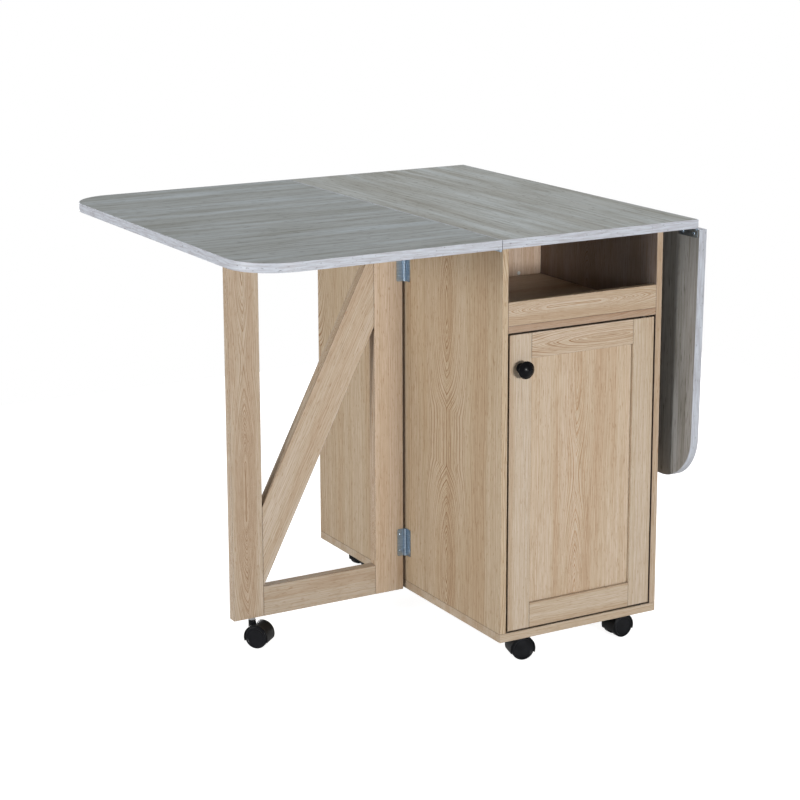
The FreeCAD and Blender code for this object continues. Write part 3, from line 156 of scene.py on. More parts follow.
# How the grain lies, as a turn that takes the board's own grain to Z and its width to X
UPRIGHT = (0, 0, 0)                                          # door and partition, seen from the front
UPRIGHT_SIDE = (0, 0, math.radians(-90))                     # side panels, seen from the side
ACROSS = (0, math.radians(-90), 0)                           # rails and lip, grain from left to right
ACROSS_SIDE = (math.radians(90), 0, math.radians(90))        # rails of the folded gate
LEVEL = (math.radians(-90), math.radians(-90), 0)            # shelves, grain from left to right
BRACE = (0, -BRACE_LEAN, 0)                                  # diagonal of the open gate
BRACE_SIDE = (-BRACE_LEAN, 0, math.radians(-90))             # diagonal of the folded gate

HEARTS_APART = 0.30          # metres from one heart to the next
NARROW_FACE = 0.7            # a face that points sideways by more than this is a narrow one
HEART_FADE = 36              # a line belongs to the heart wholly in its middle, little 50 mm beside it
HEART_POWER = -1.5
TRUNK = (4, 0, 3.2)          # clouds per metre: the arches turn up or down over some 300 mm
ARCH_DOWN, ARCH_UP = 0.01, -0.11  # metres by which the heart's lines are bent
WAVES = (40, 40, 11)         # waves of the year rings, 25 mm across and 90 mm long
WAVE_DEPTH = 0.006           # metres
RINGS = 430                  # per metre of board: year rings about 4 mm apart, counting the faint ones
FIBRES = (640, 640, 26)      # 1.5 mm wide and 40 mm long; real ones are finer and would not show
STRIPES = (45, 45, 1.6)      # light and dark stripes, 22 mm wide and 0.6 m long
PORES = (720, 720, 80)       # 1.4 mm wide and 12 mm long, again drawn coarser than they are


def oak_place(tree, place, turn, heart, wider):
    """Where a point lies on the print: the board's own place, its grain along Z, and how far
    the point is from the middle of the nearest heart. On the narrow faces of a board the lines
    run side by side through its thickness."""
    board = add(tree, "ShaderNodeMapping", {
        "Vector": place.outputs["Object"], "Rotation": turn, "Scale": (1 / wider, 1 / wider, 1),
        "Location": (-heart[0] / wider, 0, heart[1])})
    split = add(tree, "ShaderNodeSeparateXYZ", {0: board.outputs[0]})
    facing = add(tree, "ShaderNodeMapping", {"Vector": place.outputs["Normal"], "Rotation": turn},
                 vector_type="NORMAL")
    normal = add(tree, "ShaderNodeSeparateXYZ", {0: facing.outputs[0]})
    sideways = add(tree, "ShaderNodeMath", {0: normal.outputs["X"]}, operation="ABSOLUTE")
    narrow = add(tree, "ShaderNodeMath", {0: sideways.outputs[0], 1: NARROW_FACE},
                 operation="GREATER_THAN")
    width = add(tree, "ShaderNodeMix", {
        0: narrow.outputs[0], 2: split.outputs["X"], 3: split.outputs["Y"]}, data_type="FLOAT")
    across = add(tree, "ShaderNodeMath", {0: width.outputs[0], 1: HEARTS_APART / 2},
                 operation="PINGPONG")
    return board.outputs[0], across.outputs[0]


def oak_figure(tree, board, across, base, line):
    """Year rings: nested arches up the heart, and straight, fainter lines on both sides."""
    aside = add(tree, "ShaderNodeMath", {0: across, 1: HEART_FADE}, operation="MULTIPLY")
    slope = add(tree, "ShaderNodeMath", {0: aside.outputs[0], 1: aside.outputs[0], 2: 1},
                operation="MULTIPLY_ADD")
    inner = add(tree, "ShaderNodeMath", {0: slope.outputs[0], 1: HEART_POWER}, operation="POWER")
    arch = add(tree, "ShaderNodeMapRange", {
        "Value": grain(tree, board, TRUNK, Detail=0), "From Min": 0.3, "From Max": 0.7,
        "To Min": ARCH_DOWN, "To Max": ARCH_UP})
    line_place = add(tree, "ShaderNodeMath", {0: arch.outputs[0], 1: inner.outputs[0], 2: across},
                     operation="MULTIPLY_ADD")
    ring = add(tree, "ShaderNodeMath", {
        0: grain(tree, board, WAVES, Detail=2), 1: WAVE_DEPTH, 2: line_place.outputs[0]},
        operation="MULTIPLY_ADD")
    # some rings are strong and some faint
    years = add(tree, "ShaderNodeTexNoise", {
        "W": ring.outputs[0], "Scale": RINGS, "Detail": 2, "Roughness": 0.6}, noise_dimensions="1D")
    rings = add(tree, "ShaderNodeValToRGB", {"Fac": years.outputs["Fac"]},
                [(0.40, line), (0.50, base), (0.60, base)])
    strength = add(tree, "ShaderNodeMapRange", {
        "Value": inner.outputs[0], "From Min": 0, "From Max": 0.8, "To Min": 0.28, "To Max": 1.0})
    figure = add(tree, "ShaderNodeMix", {
        0: strength.outputs[0], 6: linear(base), 7: rings.outputs[0]}, data_type="RGBA")
    return figure.outputs[2]


def tint_face(tree, place, colour, axis, tint):
    """Tints the faces that point against an axis; on the right side panel's left face the tint is painted
    shade.
    """
    normal = add(tree, "ShaderNodeSeparateXYZ", {0: place.outputs["Normal"]})
    this_face = add(tree, "ShaderNodeMapRange", {
        "Value": normal.outputs[axis], "From Min": -0.9, "From Max": -0.6, "To Min": 1, "To Max": 0})
    tinted = add(tree, "ShaderNodeMix", {0: this_face.outputs[0], 6: colour, 7: linear(tint)},
                 data_type="RGBA", blend_type="MULTIPLY")
    return tinted.outputs[2]


def edge_line(tree, colour):
    """A dark line, about a millimetre wide, where the edge band meets the face."""
    turned = add(tree, "ShaderNodeBevel", {"Radius": EDGE_LINE * MM}, samples=6)
    true = add(tree, "ShaderNodeNewGeometry")
    flat = add(tree, "ShaderNodeVectorMath", {0: turned.outputs[0], 1: true.outputs["True Normal"]},
               operation="DOT_PRODUCT")
    seam = add(tree, "ShaderNodeMapRange", {
        "Value": flat.outputs["Value"], "From Min": 0.93, "From Max": 0.995, "To Min": 0.7, "To Max": 0})
    edged = add(tree, "ShaderNodeMix", {0: seam.outputs[0], 6: colour, 7: linear("#4A3524")},
                data_type="RGBA")
    return edged.outputs[2]


def painted_gap_shade(tree, colour):
    """Painted shade: darkens the colour at the bottom of the narrow gaps round the door, where hardly any
    light reaches.
    """
    open_air = add(tree, "ShaderNodeAmbientOcclusion", {"Distance": GAP_REACH * MM}, samples=6)
    lit = add(tree, "ShaderNodeMapRange", {
        "Value": open_air.outputs["AO"], "From Min": 0.15, "From Max": 0.5, "To Min": 0.0, "To Max": 1.0})
    shaded = add(tree, "ShaderNodeMix", {0: lit.outputs[0], 6: linear("#1C1611"), 7: colour},
                 data_type="RGBA")
    return shaded.outputs[2]


def light_oak(name, turn, heart, base="#CABBA7", line="#A88763", wider=1.0, tint=None):
    """Chipboard faced with oak-print paper under melamine resin, pressed against a plate with
    a wood grain: an even, satin surface, with flat-sawn oak printed on it. Nested arches run
    up its heart, straight lines stand on both sides of them, and short pores cross both.
    heart is how far across and along the grain the arches are, in metres; wider draws the
    whole print wider, on boards that are mostly seen at a slant; tint is the axis and the tint
    of its front edge (Y) or its left face (X): on a left face it is painted shade, darker and
    greyer where the face lies in deep shade, and on a front edge it makes the edge darker and
    warmer."""
    material, tree, shader = new_material(name)
    place = add(tree, "ShaderNodeTexCoord")
    board, across = oak_place(tree, place, turn, heart, wider)
    colour = oak_figure(tree, board, across, base, line)
    fibre = grain(tree, board, FIBRES, Detail=2, Roughness=0.6)
    pore = grain(tree, board, PORES, Detail=1)
    colour = print_over(tree, colour, fibre, [(0.34, "#E9E1D7"), (0.50, "#F6F3EF"), (0.66, "#FFFFFF")])
    colour = print_over(tree, colour, grain(tree, board, STRIPES, Detail=2),
                        [(0.38, "#ECE4DC"), (0.50, "#F4F2EF"), (0.62, "#FAFAFC")])
    colour = print_over(tree, colour, pore, [(0.28, "#E6DACC"), (0.37, "#FFFFFF")])
    if tint:
        colour = tint_face(tree, place, colour, *tint)
    # painted shade at the bottom of narrow gaps, over the dark lines along the edges
    colour = painted_gap_shade(tree, edge_line(tree, colour))
    tree.links.new(colour, shader.inputs["Base Color"])
    satin(tree, shader, fibre, 0.50, 0.62)
    pressed = add(tree, "ShaderNodeMath", {0: fibre, 1: pore}, operation="ADD")
    emboss(tree, shader, pressed.outputs[0], 0.25, 0.2)
    return material


# ---------------------------------------------------------------- grey table top and its band

ALONG_X = (0, math.radians(-90), 0)
ALONG_Y = (math.radians(90), 0, 0)
ALONG_Z = (0, 0, 0)

BANDS = (34, 34, 2.4)        # broad bands 30 mm wide and 0.4 m long, from warm to cool grey
STREAKS = (140, 140, 6)      # 7 mm wide and 170 mm long: less would not show at the top's low slant
CRACKS = (300, 300, 42)      # 3 mm wide and 24 mm long; real ones are finer
BAND_STREAKS = (26, 26, 380)   # on the edge band, 2.5 mm high and 40 mm long
BAND_FLECKS = (130, 130, 420)  # 2.4 mm high and 8 mm long, far apart


def grey_ash_top(name, turn, shift, dark="#909390", ground="#9CA0A0", light="#A8AFB3", finer=1):
    """Chipboard faced with a grey ash print under melamine resin: a flat satin surface with
    long soft streaks, some cooler and some warmer than the ground, and short dark cracks."""
    material, tree, shader = new_material(name, **{"Specular IOR Level": 0.25})
    place = add(tree, "ShaderNodeTexCoord")
    mapping = add(tree, "ShaderNodeMapping", {
        "Vector": place.outputs["Object"], "Rotation": turn, "Scale": (finer, finer, 1),
        "Location": (0, 0, shift)})
    board = mapping.outputs[0]
    band = grain(tree, board, BANDS, Detail=3, Roughness=0.6, Distortion=0.2)
    streak = grain(tree, board, STREAKS, Detail=4, Roughness=0.7)
    crack = grain(tree, board, CRACKS, Detail=1)
    bands = add(tree, "ShaderNodeValToRGB", {"Fac": band},
                [(0.34, dark), (0.50, ground), (0.66, light)])
    colour = print_over(tree, bands.outputs[0], streak,
                        [(0.37, "#D3D1CB"), (0.50, "#F0F1F1"), (0.63, "#FFFFFF")])
    colour = print_over(tree, colour, crack, [(0.27, "#BDBAB3"), (0.38, "#FFFFFF")])
    tree.links.new(colour, shader.inputs["Base Color"])
    satin(tree, shader, streak, 0.48, 0.60)
    emboss(tree, shader, crack, 0.2, 0.2)
    return material


def pale_edge_band(name, turn, dark="#ABABB1", ground="#B7BAC2", light="#C1C6CE"):
    """ABS edge band, 1 mm thick, printed with a pale wood grain that runs along the edge: a
    cool near-white strip, a little uneven, with faint streaks and a few short dark flecks."""
    material, tree, shader = new_material(name, Roughness=0.45)
    place = add(tree, "ShaderNodeTexCoord")
    strip = add(tree, "ShaderNodeMapping", {"Vector": place.outputs["Object"], "Rotation": turn})
    streak = grain(tree, strip.outputs[0], BAND_STREAKS, Detail=3, Roughness=0.6)
    fleck = grain(tree, strip.outputs[0], BAND_FLECKS, Detail=1)
    streaks = add(tree, "ShaderNodeValToRGB", {"Fac": streak},
                  [(0.38, dark), (0.50, ground), (0.62, light)])
    colour = print_over(tree, streaks.outputs[0], fleck, [(0.25, "#A9A7A6"), (0.34, "#FFFFFF")])
    tree.links.new(colour, shader.inputs["Base Color"])
    emboss(tree, shader, streak, 0.15, 0.2)
    return material


# ---------------------------------------------------------------- metal and plastic

BRUSHED = (60, 60, 900)      # lines of the rolled sheet, 1 mm high and 17 mm long
PATCHES = 55                 # per metre: where a moulded piece is handled, 18 mm wide


def plated_steel(name, dark, light, roughness):
    """Pressed steel with a bright zinc or nickel plating: mirror-like but drawn with fine
    lines from the rolling of the sheet, and cloudy where the plating is thicker."""
    material, tree, shader = new_material(name, Metallic=1.0)
    place = add(tree, "ShaderNodeTexCoord")
    line = grain(tree, place.outputs["Object"], BRUSHED, Detail=3, Roughness=0.6)
    tone = add(tree, "ShaderNodeValToRGB", {"Fac": line}, [(0.30, dark), (0.70, light)])
    tree.links.new(tone.outputs[0], shader.inputs["Base Color"])
    satin(tree, shader, line, roughness + 0.08, roughness)
    emboss(tree, shader, line, 0.1, 0.1)
    return material


def domed(tree, normal, middle):
    """Bends a normal as the smooth, low dome on the knob's crown does, so that a lamp shows in
    it as one bright spot beside the middle."""
    place = add(tree, "ShaderNodeTexCoord")
    off_axis = add(tree, "ShaderNodeVectorMath", {
        0: place.outputs["Object"], 1: (1, 0, 1), 2: (-middle.x, 0, -middle.z)},
        operation="MULTIPLY_ADD")
    squared = add(tree, "ShaderNodeVectorMath", {0: off_axis.outputs[0], 1: off_axis.outputs[0]},
                  operation="DOT_PRODUCT")
    crown = add(tree, "ShaderNodeMath", {
        0: squared.outputs["Value"], 1: (KNOB_DOME_REACH * MM) ** 2}, operation="MINIMUM")
    sunk = add(tree, "ShaderNodeMath", {0: crown.outputs[0], 1: -0.5 / (KNOB_DOME * MM)},
               operation="MULTIPLY")
    dome = add(tree, "ShaderNodeBump", {
        "Height": sunk.outputs[0], "Strength": 1.0, "Distance": 1.0, "Normal": normal})
    return dome.outputs[0]


def moulded_plastic(name, dark, light, roughness, spark_size, dome=None, **surface):
    """Injection-moulded plastic: one colour right through, with a fine sparked texture from
    the mould (its size in millimetres) and slightly shinier patches where it is handled. dome
    is the middle of a knob's crown."""
    material, tree, shader = new_material(name, **surface)
    place = add(tree, "ShaderNodeTexCoord")
    spark = add(tree, "ShaderNodeTexNoise", {
        "Vector": place.outputs["Object"], "Scale": 1 / (spark_size * MM), "Detail": 2,
        "Roughness": 0.6})
    patch = add(tree, "ShaderNodeTexNoise", {
        "Vector": place.outputs["Object"], "Scale": PATCHES, "Detail": 2})
    tone = add(tree, "ShaderNodeValToRGB", {"Fac": patch.outputs["Fac"]},
               [(0.35, dark), (0.65, light)])
    tree.links.new(tone.outputs[0], shader.inputs["Base Color"])
    satin(tree, shader, patch.outputs["Fac"], roughness - 0.04, roughness + 0.04, 0.35, 0.65)
    normal = emboss(tree, shader, spark.outputs["Fac"], 0.12, 0.1)
    if dome is not None:
        tree.links.new(domed(tree, normal, dome), shader.inputs["Normal"])
    return material


knob_low, knob_high = (Vector(corner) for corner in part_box("door_knob"))

ZINC = plated_steel("zinc_plated_steel", "#8FA2B4", "#B4C4D2", 0.30)
NICKEL = plated_steel("nickel_plated_steel", "#A5A6A6", "#C6C7C8", 0.22)
BLACK_NYLON = moulded_plastic(
    "black_nylon", "#090A0C", "#101114", 0.40, 0.7, **{"Specular IOR Level": 0.16})
BLACK_TYRE = moulded_plastic(
    "black_polyurethane", "#0C0D10", "#141519", 0.36, 0.5, **{"Specular IOR Level": 0.16})
BROWN_NYLON = moulded_plastic(
    "brown_nylon_bush", "#2A221C", "#352B23", 0.50, 0.5, **{"Specular IOR Level": 0.3})
WHITE_PLASTIC = moulded_plastic("white_polypropylene", "#DADAD6", "#E4E4E0", 0.40, 0.6)
BLACK_LACQUER = moulded_plastic(
    "black_gloss_lacquer", "#030305", "#06060A", 0.28, 1.2,
    dome=(knob_low + knob_high) / 2, **{"Specular IOR Level": 0.13})

# ---------------------------------------------------------------- which board has which print

OAK_LEFT_SIDE = light_oak(
    "oak_left_side", UPRIGHT_SIDE, (-0.15, 0.1), base="#CCBAA0", line="#976F46", wider=1.6)
# its left face, inside the cubby, is tinted darker and greyer: painted shade for the deep shade it lies
# in
OAK_RIGHT_SIDE = light_oak(
    "oak_right_side", UPRIGHT_SIDE, (-0.12, 2.1), base="#C3B19C", line="#9C774F", wider=1.6,
    tint=("X", "#BEC1D3"))
OAK_PARTITION = light_oak("oak_partition", UPRIGHT, (0.20, 1.3), base="#E2CDBA", line="#B99572")
# its base is greyer than the other oak boards: painted shade for its top face in the dark cubby; its
# front edge is tinted darker and warmer
OAK_CUBBY_FLOOR = light_oak(
    "oak_cubby_floor", LEVEL, (-0.10, 2.2), base="#C4B8AB", tint=("Y", "#EFE2D6"))
OAK_TOP_RAIL = light_oak(
    "oak_top_rail", ACROSS, (-0.5585, 7.55), base="#CEBEAA", line="#9E7A54")
OAK_DOOR_PANEL = light_oak(
    "oak_door_panel", UPRIGHT, (0.205, 7.3), base="#CFBEA8", line="#B0885E")
GREY_CENTRE_TOP = grey_ash_top(
    "grey_centre_top", ALONG_Y, 0.55, dark="#9B9B95", ground="#A8AAA7", light="#B3B8B8")
# a lighter, warmer copy of the grey print: painted light and warm bounce on its inner face, which stands
# in shade beside the cabinet
GREY_RIGHT_LEAF = grey_ash_top(
    "grey_right_leaf", ALONG_Z, 2.0, dark="#989590", ground="#A2A09D", light="#A9A7A5", finer=1.7)
# darker than the other bands: painted shade, to take down the strong light on the hanging leaf's upright
# edge
PALE_RIGHT_BAND = pale_edge_band(
    "pale_right_band", (0, math.radians(90), 0), dark="#A6A7AD", ground="#B2B5BD", light="#BCC1C9")

FINISH = {
    "base_board": light_oak("oak_base_board", LEVEL, (0.05, 0.4)),
    "side_panel_left": OAK_LEFT_SIDE,
    "side_panel_right": OAK_RIGHT_SIDE,
    "centre_partition": OAK_PARTITION,
    "cubby_floor": OAK_CUBBY_FLOOR,
    "cubby_apron": light_oak("oak_apron", ACROSS, (-0.62, 0.9)),
    "inner_shelf": light_oak("oak_inner_shelf", LEVEL, (-0.15, 3.0)),
    "rear_shelf_lower": light_oak("oak_rear_shelf_lower", LEVEL, (0.15, 3.4)),
    "rear_shelf_upper": light_oak("oak_rear_shelf_upper", LEVEL, (0.18, 4.1)),
    "door_stile_left": light_oak("oak_left_stile", UPRIGHT, (-0.02, 5.0)),
    "door_stile_right": light_oak("oak_right_stile", UPRIGHT, (0.45, 5.6)),
    "door_rail_bottom": light_oak("oak_bottom_rail", ACROSS, (-0.30, 6.2)),
    "door_rail_top": OAK_TOP_RAIL,
    "door_panel": OAK_DOOR_PANEL,
    "shelf_pins": ZINC,
    "carcass_screws": ZINC,
    "top_brackets": ZINC,
    "top_hinge_plates": ZINC,
    "cabinet_hinge_plates": ZINC,
    "door_pivot_pins": NICKEL,
    "knob_screw": NICKEL,
    "catch_plate": NICKEL,
    "caster_stems": NICKEL,
    "magnetic_catch": WHITE_PLASTIC,
    "door_pivot_bushes": BROWN_NYLON,
    "door_knob": BLACK_LACQUER,
    "centre_top": GREY_CENTRE_TOP,
    "centre_top_band": pale_edge_band("pale_centre_band", ALONG_Z),
    "left_leaf": grey_ash_top("grey_left_leaf", ALONG_X, 1.0),
    "left_leaf_band": pale_edge_band("pale_left_band", ALONG_Z),
    "right_leaf": GREY_RIGHT_LEAF,
    "right_leaf_band": PALE_RIGHT_BAND,
}

GATE_GRAIN = {"left": (UPRIGHT, ACROSS, BRACE), "right": (UPRIGHT_SIDE, ACROSS_SIDE, BRACE_SIDE)}
for side, (up, level, diagonal) in GATE_GRAIN.items():
    FINISH[f"{side}_gate_outer_post"] = light_oak(
        f"oak_{side}_outer_post", up, (-0.262, 8.0), base="#CEC0AE", line="#A78B6C")
    # the inner posts are a little lighter than the outer ones: painted light, against the shade that
    # falls on them beside the cabinet
    FINISH[f"{side}_gate_inner_post"] = light_oak(
        f"oak_{side}_inner_post", up, (0.10, 8.7), base="#D2BFA9", line="#A88764")
    FINISH[f"{side}_gate_rails"] = light_oak(
        f"oak_{side}_rails", level, (0.08, 9.3), base="#C4B7A6")
    FINISH[f"{side}_gate_brace"] = light_oak(
        f"oak_{side}_brace", diagonal, (0.10, 9.9), base="#CEC0AE", line="#A78B6C")
    FINISH[f"{side}_gate_glide"] = BLACK_NYLON
    FINISH[f"{side}_leaf_hinge_plates"] = ZINC
    FINISH[f"{side}_gate_hinge_plates"] = ZINC
    FINISH[f"{side}_gate_caster_stem"] = NICKEL
for name in nodes:
    if name.startswith("caster_hood"):
        FINISH[name] = BLACK_NYLON
    if name.startswith("caster_wheels"):
        FINISH[name] = BLACK_TYRE


def soften(board):
    """Rounds the edges of a flat board, as its edge band is rounded. The mesh comes in as
    loose triangles, so they are joined first."""
    weld = board.modifiers.new("joined", "WELD")
    weld.merge_threshold = 0.01 * MM
    edge = board.modifiers.new("edge_rounding", "BEVEL")
    edge.width = BOARD_EDGE * MM
    edge.segments = 2
    edge.limit_method = "ANGLE"
    edge.angle_limit = math.radians(40)
    edge.use_clamp_overlap = False
    edge.harden_normals = True


for name, node in nodes.items():
    for material_slot in node.material_slots:
        material_slot.material = FINISH[name]
    # only the oak boards: the grey ones carry a band of their own
    if FINISH[name].name.startswith("oak"):
        soften(node)


# ---------------------------------------------------------------- screws and caps


def alone(piece):
    """Selects one piece and nothing else."""
    bpy.ops.object.select_all(action="DESELECT")
    piece.select_set(True)
    bpy.context.view_layer.objects.active = piece


def cross_head():
    """Raised head of a countersunk screw with a cross recess, at the origin and facing up."""
    height = 2 * SCREW_RISE
    bpy.ops.object.select_all(action="DESELECT")
    bpy.ops.mesh.primitive_cylinder_add(
        vertices=ROUND_SIDES, radius=SCREW_HEAD * MM / 2, depth=height * MM)
    head = bpy.context.object
    bpy.ops.object.mode_set(mode="EDIT")
    bpy.ops.mesh.select_all(action="DESELECT")
    bpy.ops.object.mode_set(mode="OBJECT")
    for face in head.data.polygons:
        face.select = face.normal.z > 0.9
    # the crown: a low dome in two steps
    bpy.ops.object.mode_set(mode="EDIT")
    bpy.ops.transform.resize(value=(HEAD_TAPER, HEAD_TAPER, 1))
    bpy.ops.mesh.inset(thickness=SCREW_HEAD * HEAD_RIM * MM)
    bpy.ops.transform.translate(value=(0, 0, height * CROWN_LIFT * MM))
    bpy.ops.object.mode_set(mode="OBJECT")
    for turn in (0, 90):
        bpy.ops.object.select_all(action="DESELECT")
        bpy.ops.mesh.primitive_cube_add(size=1, location=(0, 0, height * RECESS_LEVEL * MM))
        bar = bpy.context.object
        bar.scale = (SCREW_HEAD * RECESS_LENGTH * MM, SCREW_HEAD * RECESS_WIDTH * MM, height * MM)
        bar.rotation_euler = (0, 0, math.radians(turn))
        cut = head.modifiers.new("recess", "BOOLEAN")
        cut.operation = "DIFFERENCE"
        cut.object = bar
        alone(head)
        bpy.ops.object.modifier_apply(modifier=cut.name)
        bpy.data.objects.remove(bar)
    return head


def cover_cap():
    """Small round cap with all its edges rounded, facing up and a little low, so that its back
    sinks into the board."""
    bpy.ops.object.select_all(action="DESELECT")
    bpy.ops.mesh.primitive_cylinder_add(
        vertices=ROUND_SIDES, radius=CAP_DIAMETER * MM / 2, depth=CAP_RISE * MM)
    cap = bpy.context.object
    bpy.ops.object.mode_set(mode="EDIT")
    bpy.ops.mesh.select_all(action="SELECT")
    bpy.ops.mesh.bevel(offset=CAP_ROUNDING * MM, segments=3, affect="EDGES")
    bpy.ops.transform.translate(value=(0, 0, -CAP_SUNK * MM))
    bpy.ops.object.mode_set(mode="OBJECT")
    return cap


def set_copy(model, name, place, facing, body, finish=ZINC):
    """A copy of a small part, with its own mesh, at a place in metres and facing outwards. Its
    place goes into its mesh, as the CAD nodes have it."""
    alone(model)
    bpy.ops.object.duplicate(linked=False)
    piece = bpy.context.object
    piece.name = name
    piece.location = place
    piece.rotation_euler = Vector(facing).to_track_quat("Z", "Y").to_euler()
    alone(piece)
    bpy.ops.object.transform_apply(location=True, rotation=True, scale=True)
    piece.data.materials.clear()
    piece.data.materials.append(finish)
    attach(piece, body)


def gate_hinge_screws(model):
    """Two screws in every plate of the gate hinges, each over its hole and flat on its plate."""
    out = (HINGE_PLATE + SCREW_RISE) * MM
    left_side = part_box("side_panel_left")[0][0]
    right_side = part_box("side_panel_right")[1][0]
    (left_x, _, _), (_, left_back, _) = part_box("left_gate_hinge_plates")
    _, (right_x, right_back, _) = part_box("right_gate_hinge_plates")
    (_, fixed_front, low), (_, fixed_back, high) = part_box("cabinet_hinge_plates")
    ends = (HOLE_FROM_END * MM, (HINGE_LENGTH - HOLE_FROM_END) * MM)
    heights = [low + end for end in ends] + [high - end for end in ends]
    edge = HOLE_FROM_EDGE * MM
    for i, z in enumerate(heights, 1):
        set_copy(model, f"left_gate_hinge_screw_{i}", (left_x + edge, left_back - out, z),
                 (0, -1, 0), "left_gate")
        set_copy(model, f"right_gate_hinge_screw_{i}", (right_x - out, right_back - edge, z),
                 (-1, 0, 0), "right_gate")
        set_copy(model, f"left_side_hinge_screw_{i}", (left_side - out, fixed_front + edge, z),
                 (-1, 0, 0), "cabinet")
        set_copy(model, f"right_side_hinge_screw_{i}", (right_side + out, fixed_back - edge, z),
                 (1, 0, 0), "cabinet")


def leaf_hinge_screws(model):
    """Two screws in every plate of the leaf hinges, under the top and on the hanging leaf."""
    out = (HINGE_PLATE + SCREW_RISE) * MM
    (top_left, front, _), (top_right, back, _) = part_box("top_hinge_plates")
    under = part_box("centre_top")[0][2]
    leaf_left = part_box("left_leaf_hinge_plates")[0][0]
    (_, _, leaf_low), (leaf_right, _, _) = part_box("right_leaf_hinge_plates")
    edge = HOLE_FROM_EDGE * MM
    barrel = HOLE_FROM_BARREL * MM
    half = HINGE_LENGTH * MM / 2
    reach = half - HOLE_FROM_END * MM
    spots = [middle + step for middle in (front + half, 0, back - half) for step in (-reach, reach)]
    hang_in = (-math.cos(HANG_LEAN), 0, -math.sin(HANG_LEAN))
    hang_x = leaf_right - edge * math.tan(HANG_LEAN) - out
    for i, y in enumerate(spots, 1):
        set_copy(model, f"top_left_hinge_screw_{i}", (top_left + barrel, y, under - out),
                 (0, 0, -1), "cabinet")
        set_copy(model, f"top_right_hinge_screw_{i}", (top_right - barrel, y, under - out),
                 (0, 0, -1), "cabinet")
        set_copy(model, f"left_leaf_hinge_screw_{i}", (leaf_left + edge, y, under - out),
                 (0, 0, -1), "left_leaf")
        set_copy(model, f"right_leaf_hinge_screw_{i}", (hang_x, y, leaf_low + edge),
                 hang_in, "right_leaf")


def bracket_screws(model):
    """One screw up into the top and one into the side panel at each angle bracket."""
    (left, front, _), (right, back, top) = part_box("top_brackets")
    flange = (BRACKET_FLANGE + SCREW_RISE) * MM
    hole = BRACKET_HOLE * MM
    half = BRACKET_WIDTH * MM / 2
    for y, end in ((front + half, "front"), (back - half, "back")):
        for x, inward, hand in ((left, 1, "left"), (right, -1, "right")):
            set_copy(model, f"bracket_screw_up_{end}_{hand}", (x + inward * hole, y, top - flange),
                     (0, 0, -1), "cabinet")
            set_copy(model, f"bracket_screw_side_{end}_{hand}",
                     (x + inward * flange, y, top - hole), (inward, 0, 0), "cabinet")


def cover_caps(model):
    """White caps over the screw heads in the partition, just above the cubby floor."""
    (left, front, _), (right, _, _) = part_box("centre_partition")
    floor_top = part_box("cubby_floor")[1][2]
    middle = (left + right) / 2
    y = front - CAP_RISE * MM / 2
    z = floor_top + CAP_HEIGHT * MM
    for hand, side in ((-1, "left"), (1, "right")):
        set_copy(model, f"cover_cap_{side}", (middle + hand * CAP_SPREAD * MM, y, z), (0, -1, 0),
                 "cabinet", WHITE_PLASTIC)


screw = cross_head()
gate_hinge_screws(screw)
leaf_hinge_screws(screw)
bracket_screws(screw)
bpy.data.objects.remove(screw)
cap = cover_cap()
cover_caps(cap)
bpy.data.objects.remove(cap)


# ---------------------------------------------------------------- floor, light and camera

FLOOR_SIZE = 3.6             # metres; beyond it the backdrop is plain white
FLOOR_PAINT = "#BDBDBD"
FLOOR_GLOW = 0.88            # what brings the floor up to white where no shadow lies
SOFT_LIGHT = 0.15            # even light from all round
MIRRORED = 0.35              # how much of the white surroundings shows in reflections

# name, place, what it is aimed at, width and height (all in metres), and watts
LAMPS = [
    ("front_box", (0.12, -3.4, 0.92), (0.2, -0.3, 0.5), (0.75, 0.35), 70),
    ("right_front_box", (0.8, -3.4, 0.45), (0.1, -0.3, 0.5), (0.3, 0.3), 6),
    ("left_front_box", (-3.4, -0.55, 0.9), (0.2, -0.3, 0.4), (0.4, 0.9), 51),
    ("left_back_box", (-3.4, 0.6, 1.0), (0.05, 0, 0.4), (0.9, 1.4), 28),
    ("top_box", (0.4, 0.4, 3.4), (0, 0, 0.75), (1.6, 1.6), 54),
    ("back_box", (0.6, 3.2, 0.35), (0, 0.3, 0.4), (1.0, 0.5), 40),
    ("right_box", (3.4, 0.2, 0.4), (0.3, 0, 0.4), (1.0, 0.5), 46),
]

CAMERA_PLACE = (-1.72879, -3.12640, 1.33296)   # metres
CAMERA_YAW = math.radians(29.59)               # turned from straight ahead to the right
CAMERA_PITCH = math.radians(12.33)             # tipped down
CAMERA_ROLL = math.radians(-0.19)
CAMERA_LENS = 94.21                            # millimetres, on a film 36 mm wide
CAMERA_FILM = 36
CAMERA_SHIFT = -0.1


def shown_white(tree):
    """How much of the white surroundings a ray sees: all of it from the camera, a part of it
    as a reflection, as beside a dark studio wall, and none as light on the table."""
    path = add(tree, "ShaderNodeLightPath")
    mirrored = add(tree, "ShaderNodeMath", {0: path.outputs["Is Glossy Ray"], 1: MIRRORED},
                   operation="MULTIPLY")
    seen = add(tree, "ShaderNodeMath", {0: path.outputs["Is Camera Ray"], 1: mirrored.outputs[0]},
               operation="MAXIMUM")
    return seen.outputs[0]


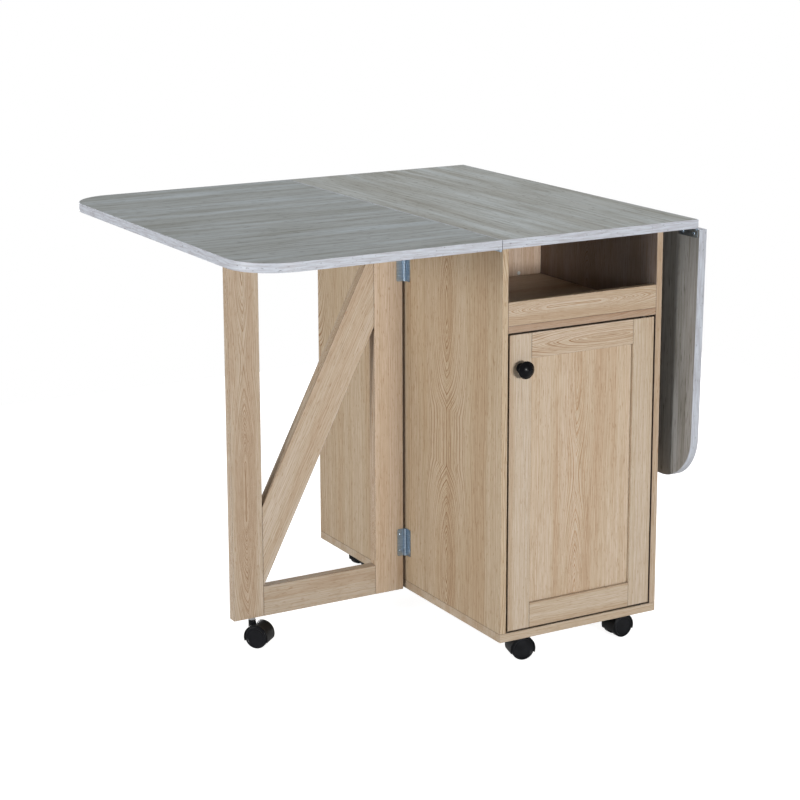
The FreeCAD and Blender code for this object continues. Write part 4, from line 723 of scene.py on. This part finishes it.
def pale_floor():
    """Matt white paper that keeps the table's own soft shadow."""
    bpy.ops.object.select_all(action="DESELECT")
    bpy.ops.mesh.primitive_plane_add(size=FLOOR_SIZE, location=(0, 0, 0))
    floor = bpy.context.object
    floor.name = "floor"
    material = bpy.data.materials.new("pale_floor")
    material.use_nodes = True
    tree = material.node_tree
    tree.nodes.clear()
    paint = add(tree, "ShaderNodeBsdfDiffuse", {"Color": linear(FLOOR_PAINT)})
    glow = add(tree, "ShaderNodeEmission", {"Color": linear("#FFFFFF"), "Strength": FLOOR_GLOW})
    both = add(tree, "ShaderNodeAddShader", {0: paint.outputs[0], 1: glow.outputs[0]})
    shown = add(tree, "ShaderNodeMixShader", {
        0: shown_white(tree), 1: paint.outputs[0], 2: both.outputs[0]})
    add(tree, "ShaderNodeOutputMaterial", {"Surface": shown.outputs[0]})
    floor.data.materials.append(material)


def white_surroundings():
    """Soft even light from all round, which shows as a plain white backdrop."""
    world = bpy.data.worlds.new("studio")
    bpy.context.scene.world = world
    world.use_nodes = True
    tree = world.node_tree
    tree.nodes.clear()
    soft = add(tree, "ShaderNodeBackground", {"Color": linear("#FFFFFF"), "Strength": SOFT_LIGHT})
    white = add(tree, "ShaderNodeBackground", {"Color": linear("#FFFFFF"), "Strength": 1.0})
    sky = add(tree, "ShaderNodeMixShader", {
        0: shown_white(tree), 1: soft.outputs[0], 2: white.outputs[0]})
    add(tree, "ShaderNodeOutputWorld", {"Surface": sky.outputs[0]})


def lamp(name, place, aim, size, watts):
    """A soft box aimed at a point."""
    data = bpy.data.lights.new(name, "AREA")
    data.shape = "RECTANGLE"
    data.size, data.size_y = size
    data.energy = watts
    light = bpy.data.objects.new(name, data)
    bpy.context.collection.objects.link(light)
    light.location = place
    light.rotation_euler = (Vector(aim) - Vector(place)).to_track_quat("-Z", "Y").to_euler()


def camera():
    """The camera, from the front left and a little above the top."""
    data = bpy.data.cameras.new("camera")
    data.lens = CAMERA_LENS
    data.sensor_width = CAMERA_FILM
    data.shift_y = CAMERA_SHIFT
    data.clip_end = 100
    eye = bpy.data.objects.new("camera", data)
    bpy.context.collection.objects.link(eye)
    turn = Matrix.Rotation(-CAMERA_YAW, 4, "Z") @ Matrix.Rotation(math.pi / 2 - CAMERA_PITCH, 4, "X")
    turn = turn @ Matrix.Rotation(CAMERA_ROLL, 4, "Z")
    eye.matrix_world = Matrix.Translation(CAMERA_PLACE) @ turn
    bpy.context.scene.camera = eye


pale_floor()
white_surroundings()
for lamp_row in LAMPS:
    lamp(*lamp_row)
camera()
bpy.context.scene.view_settings.view_transform = "Standard"
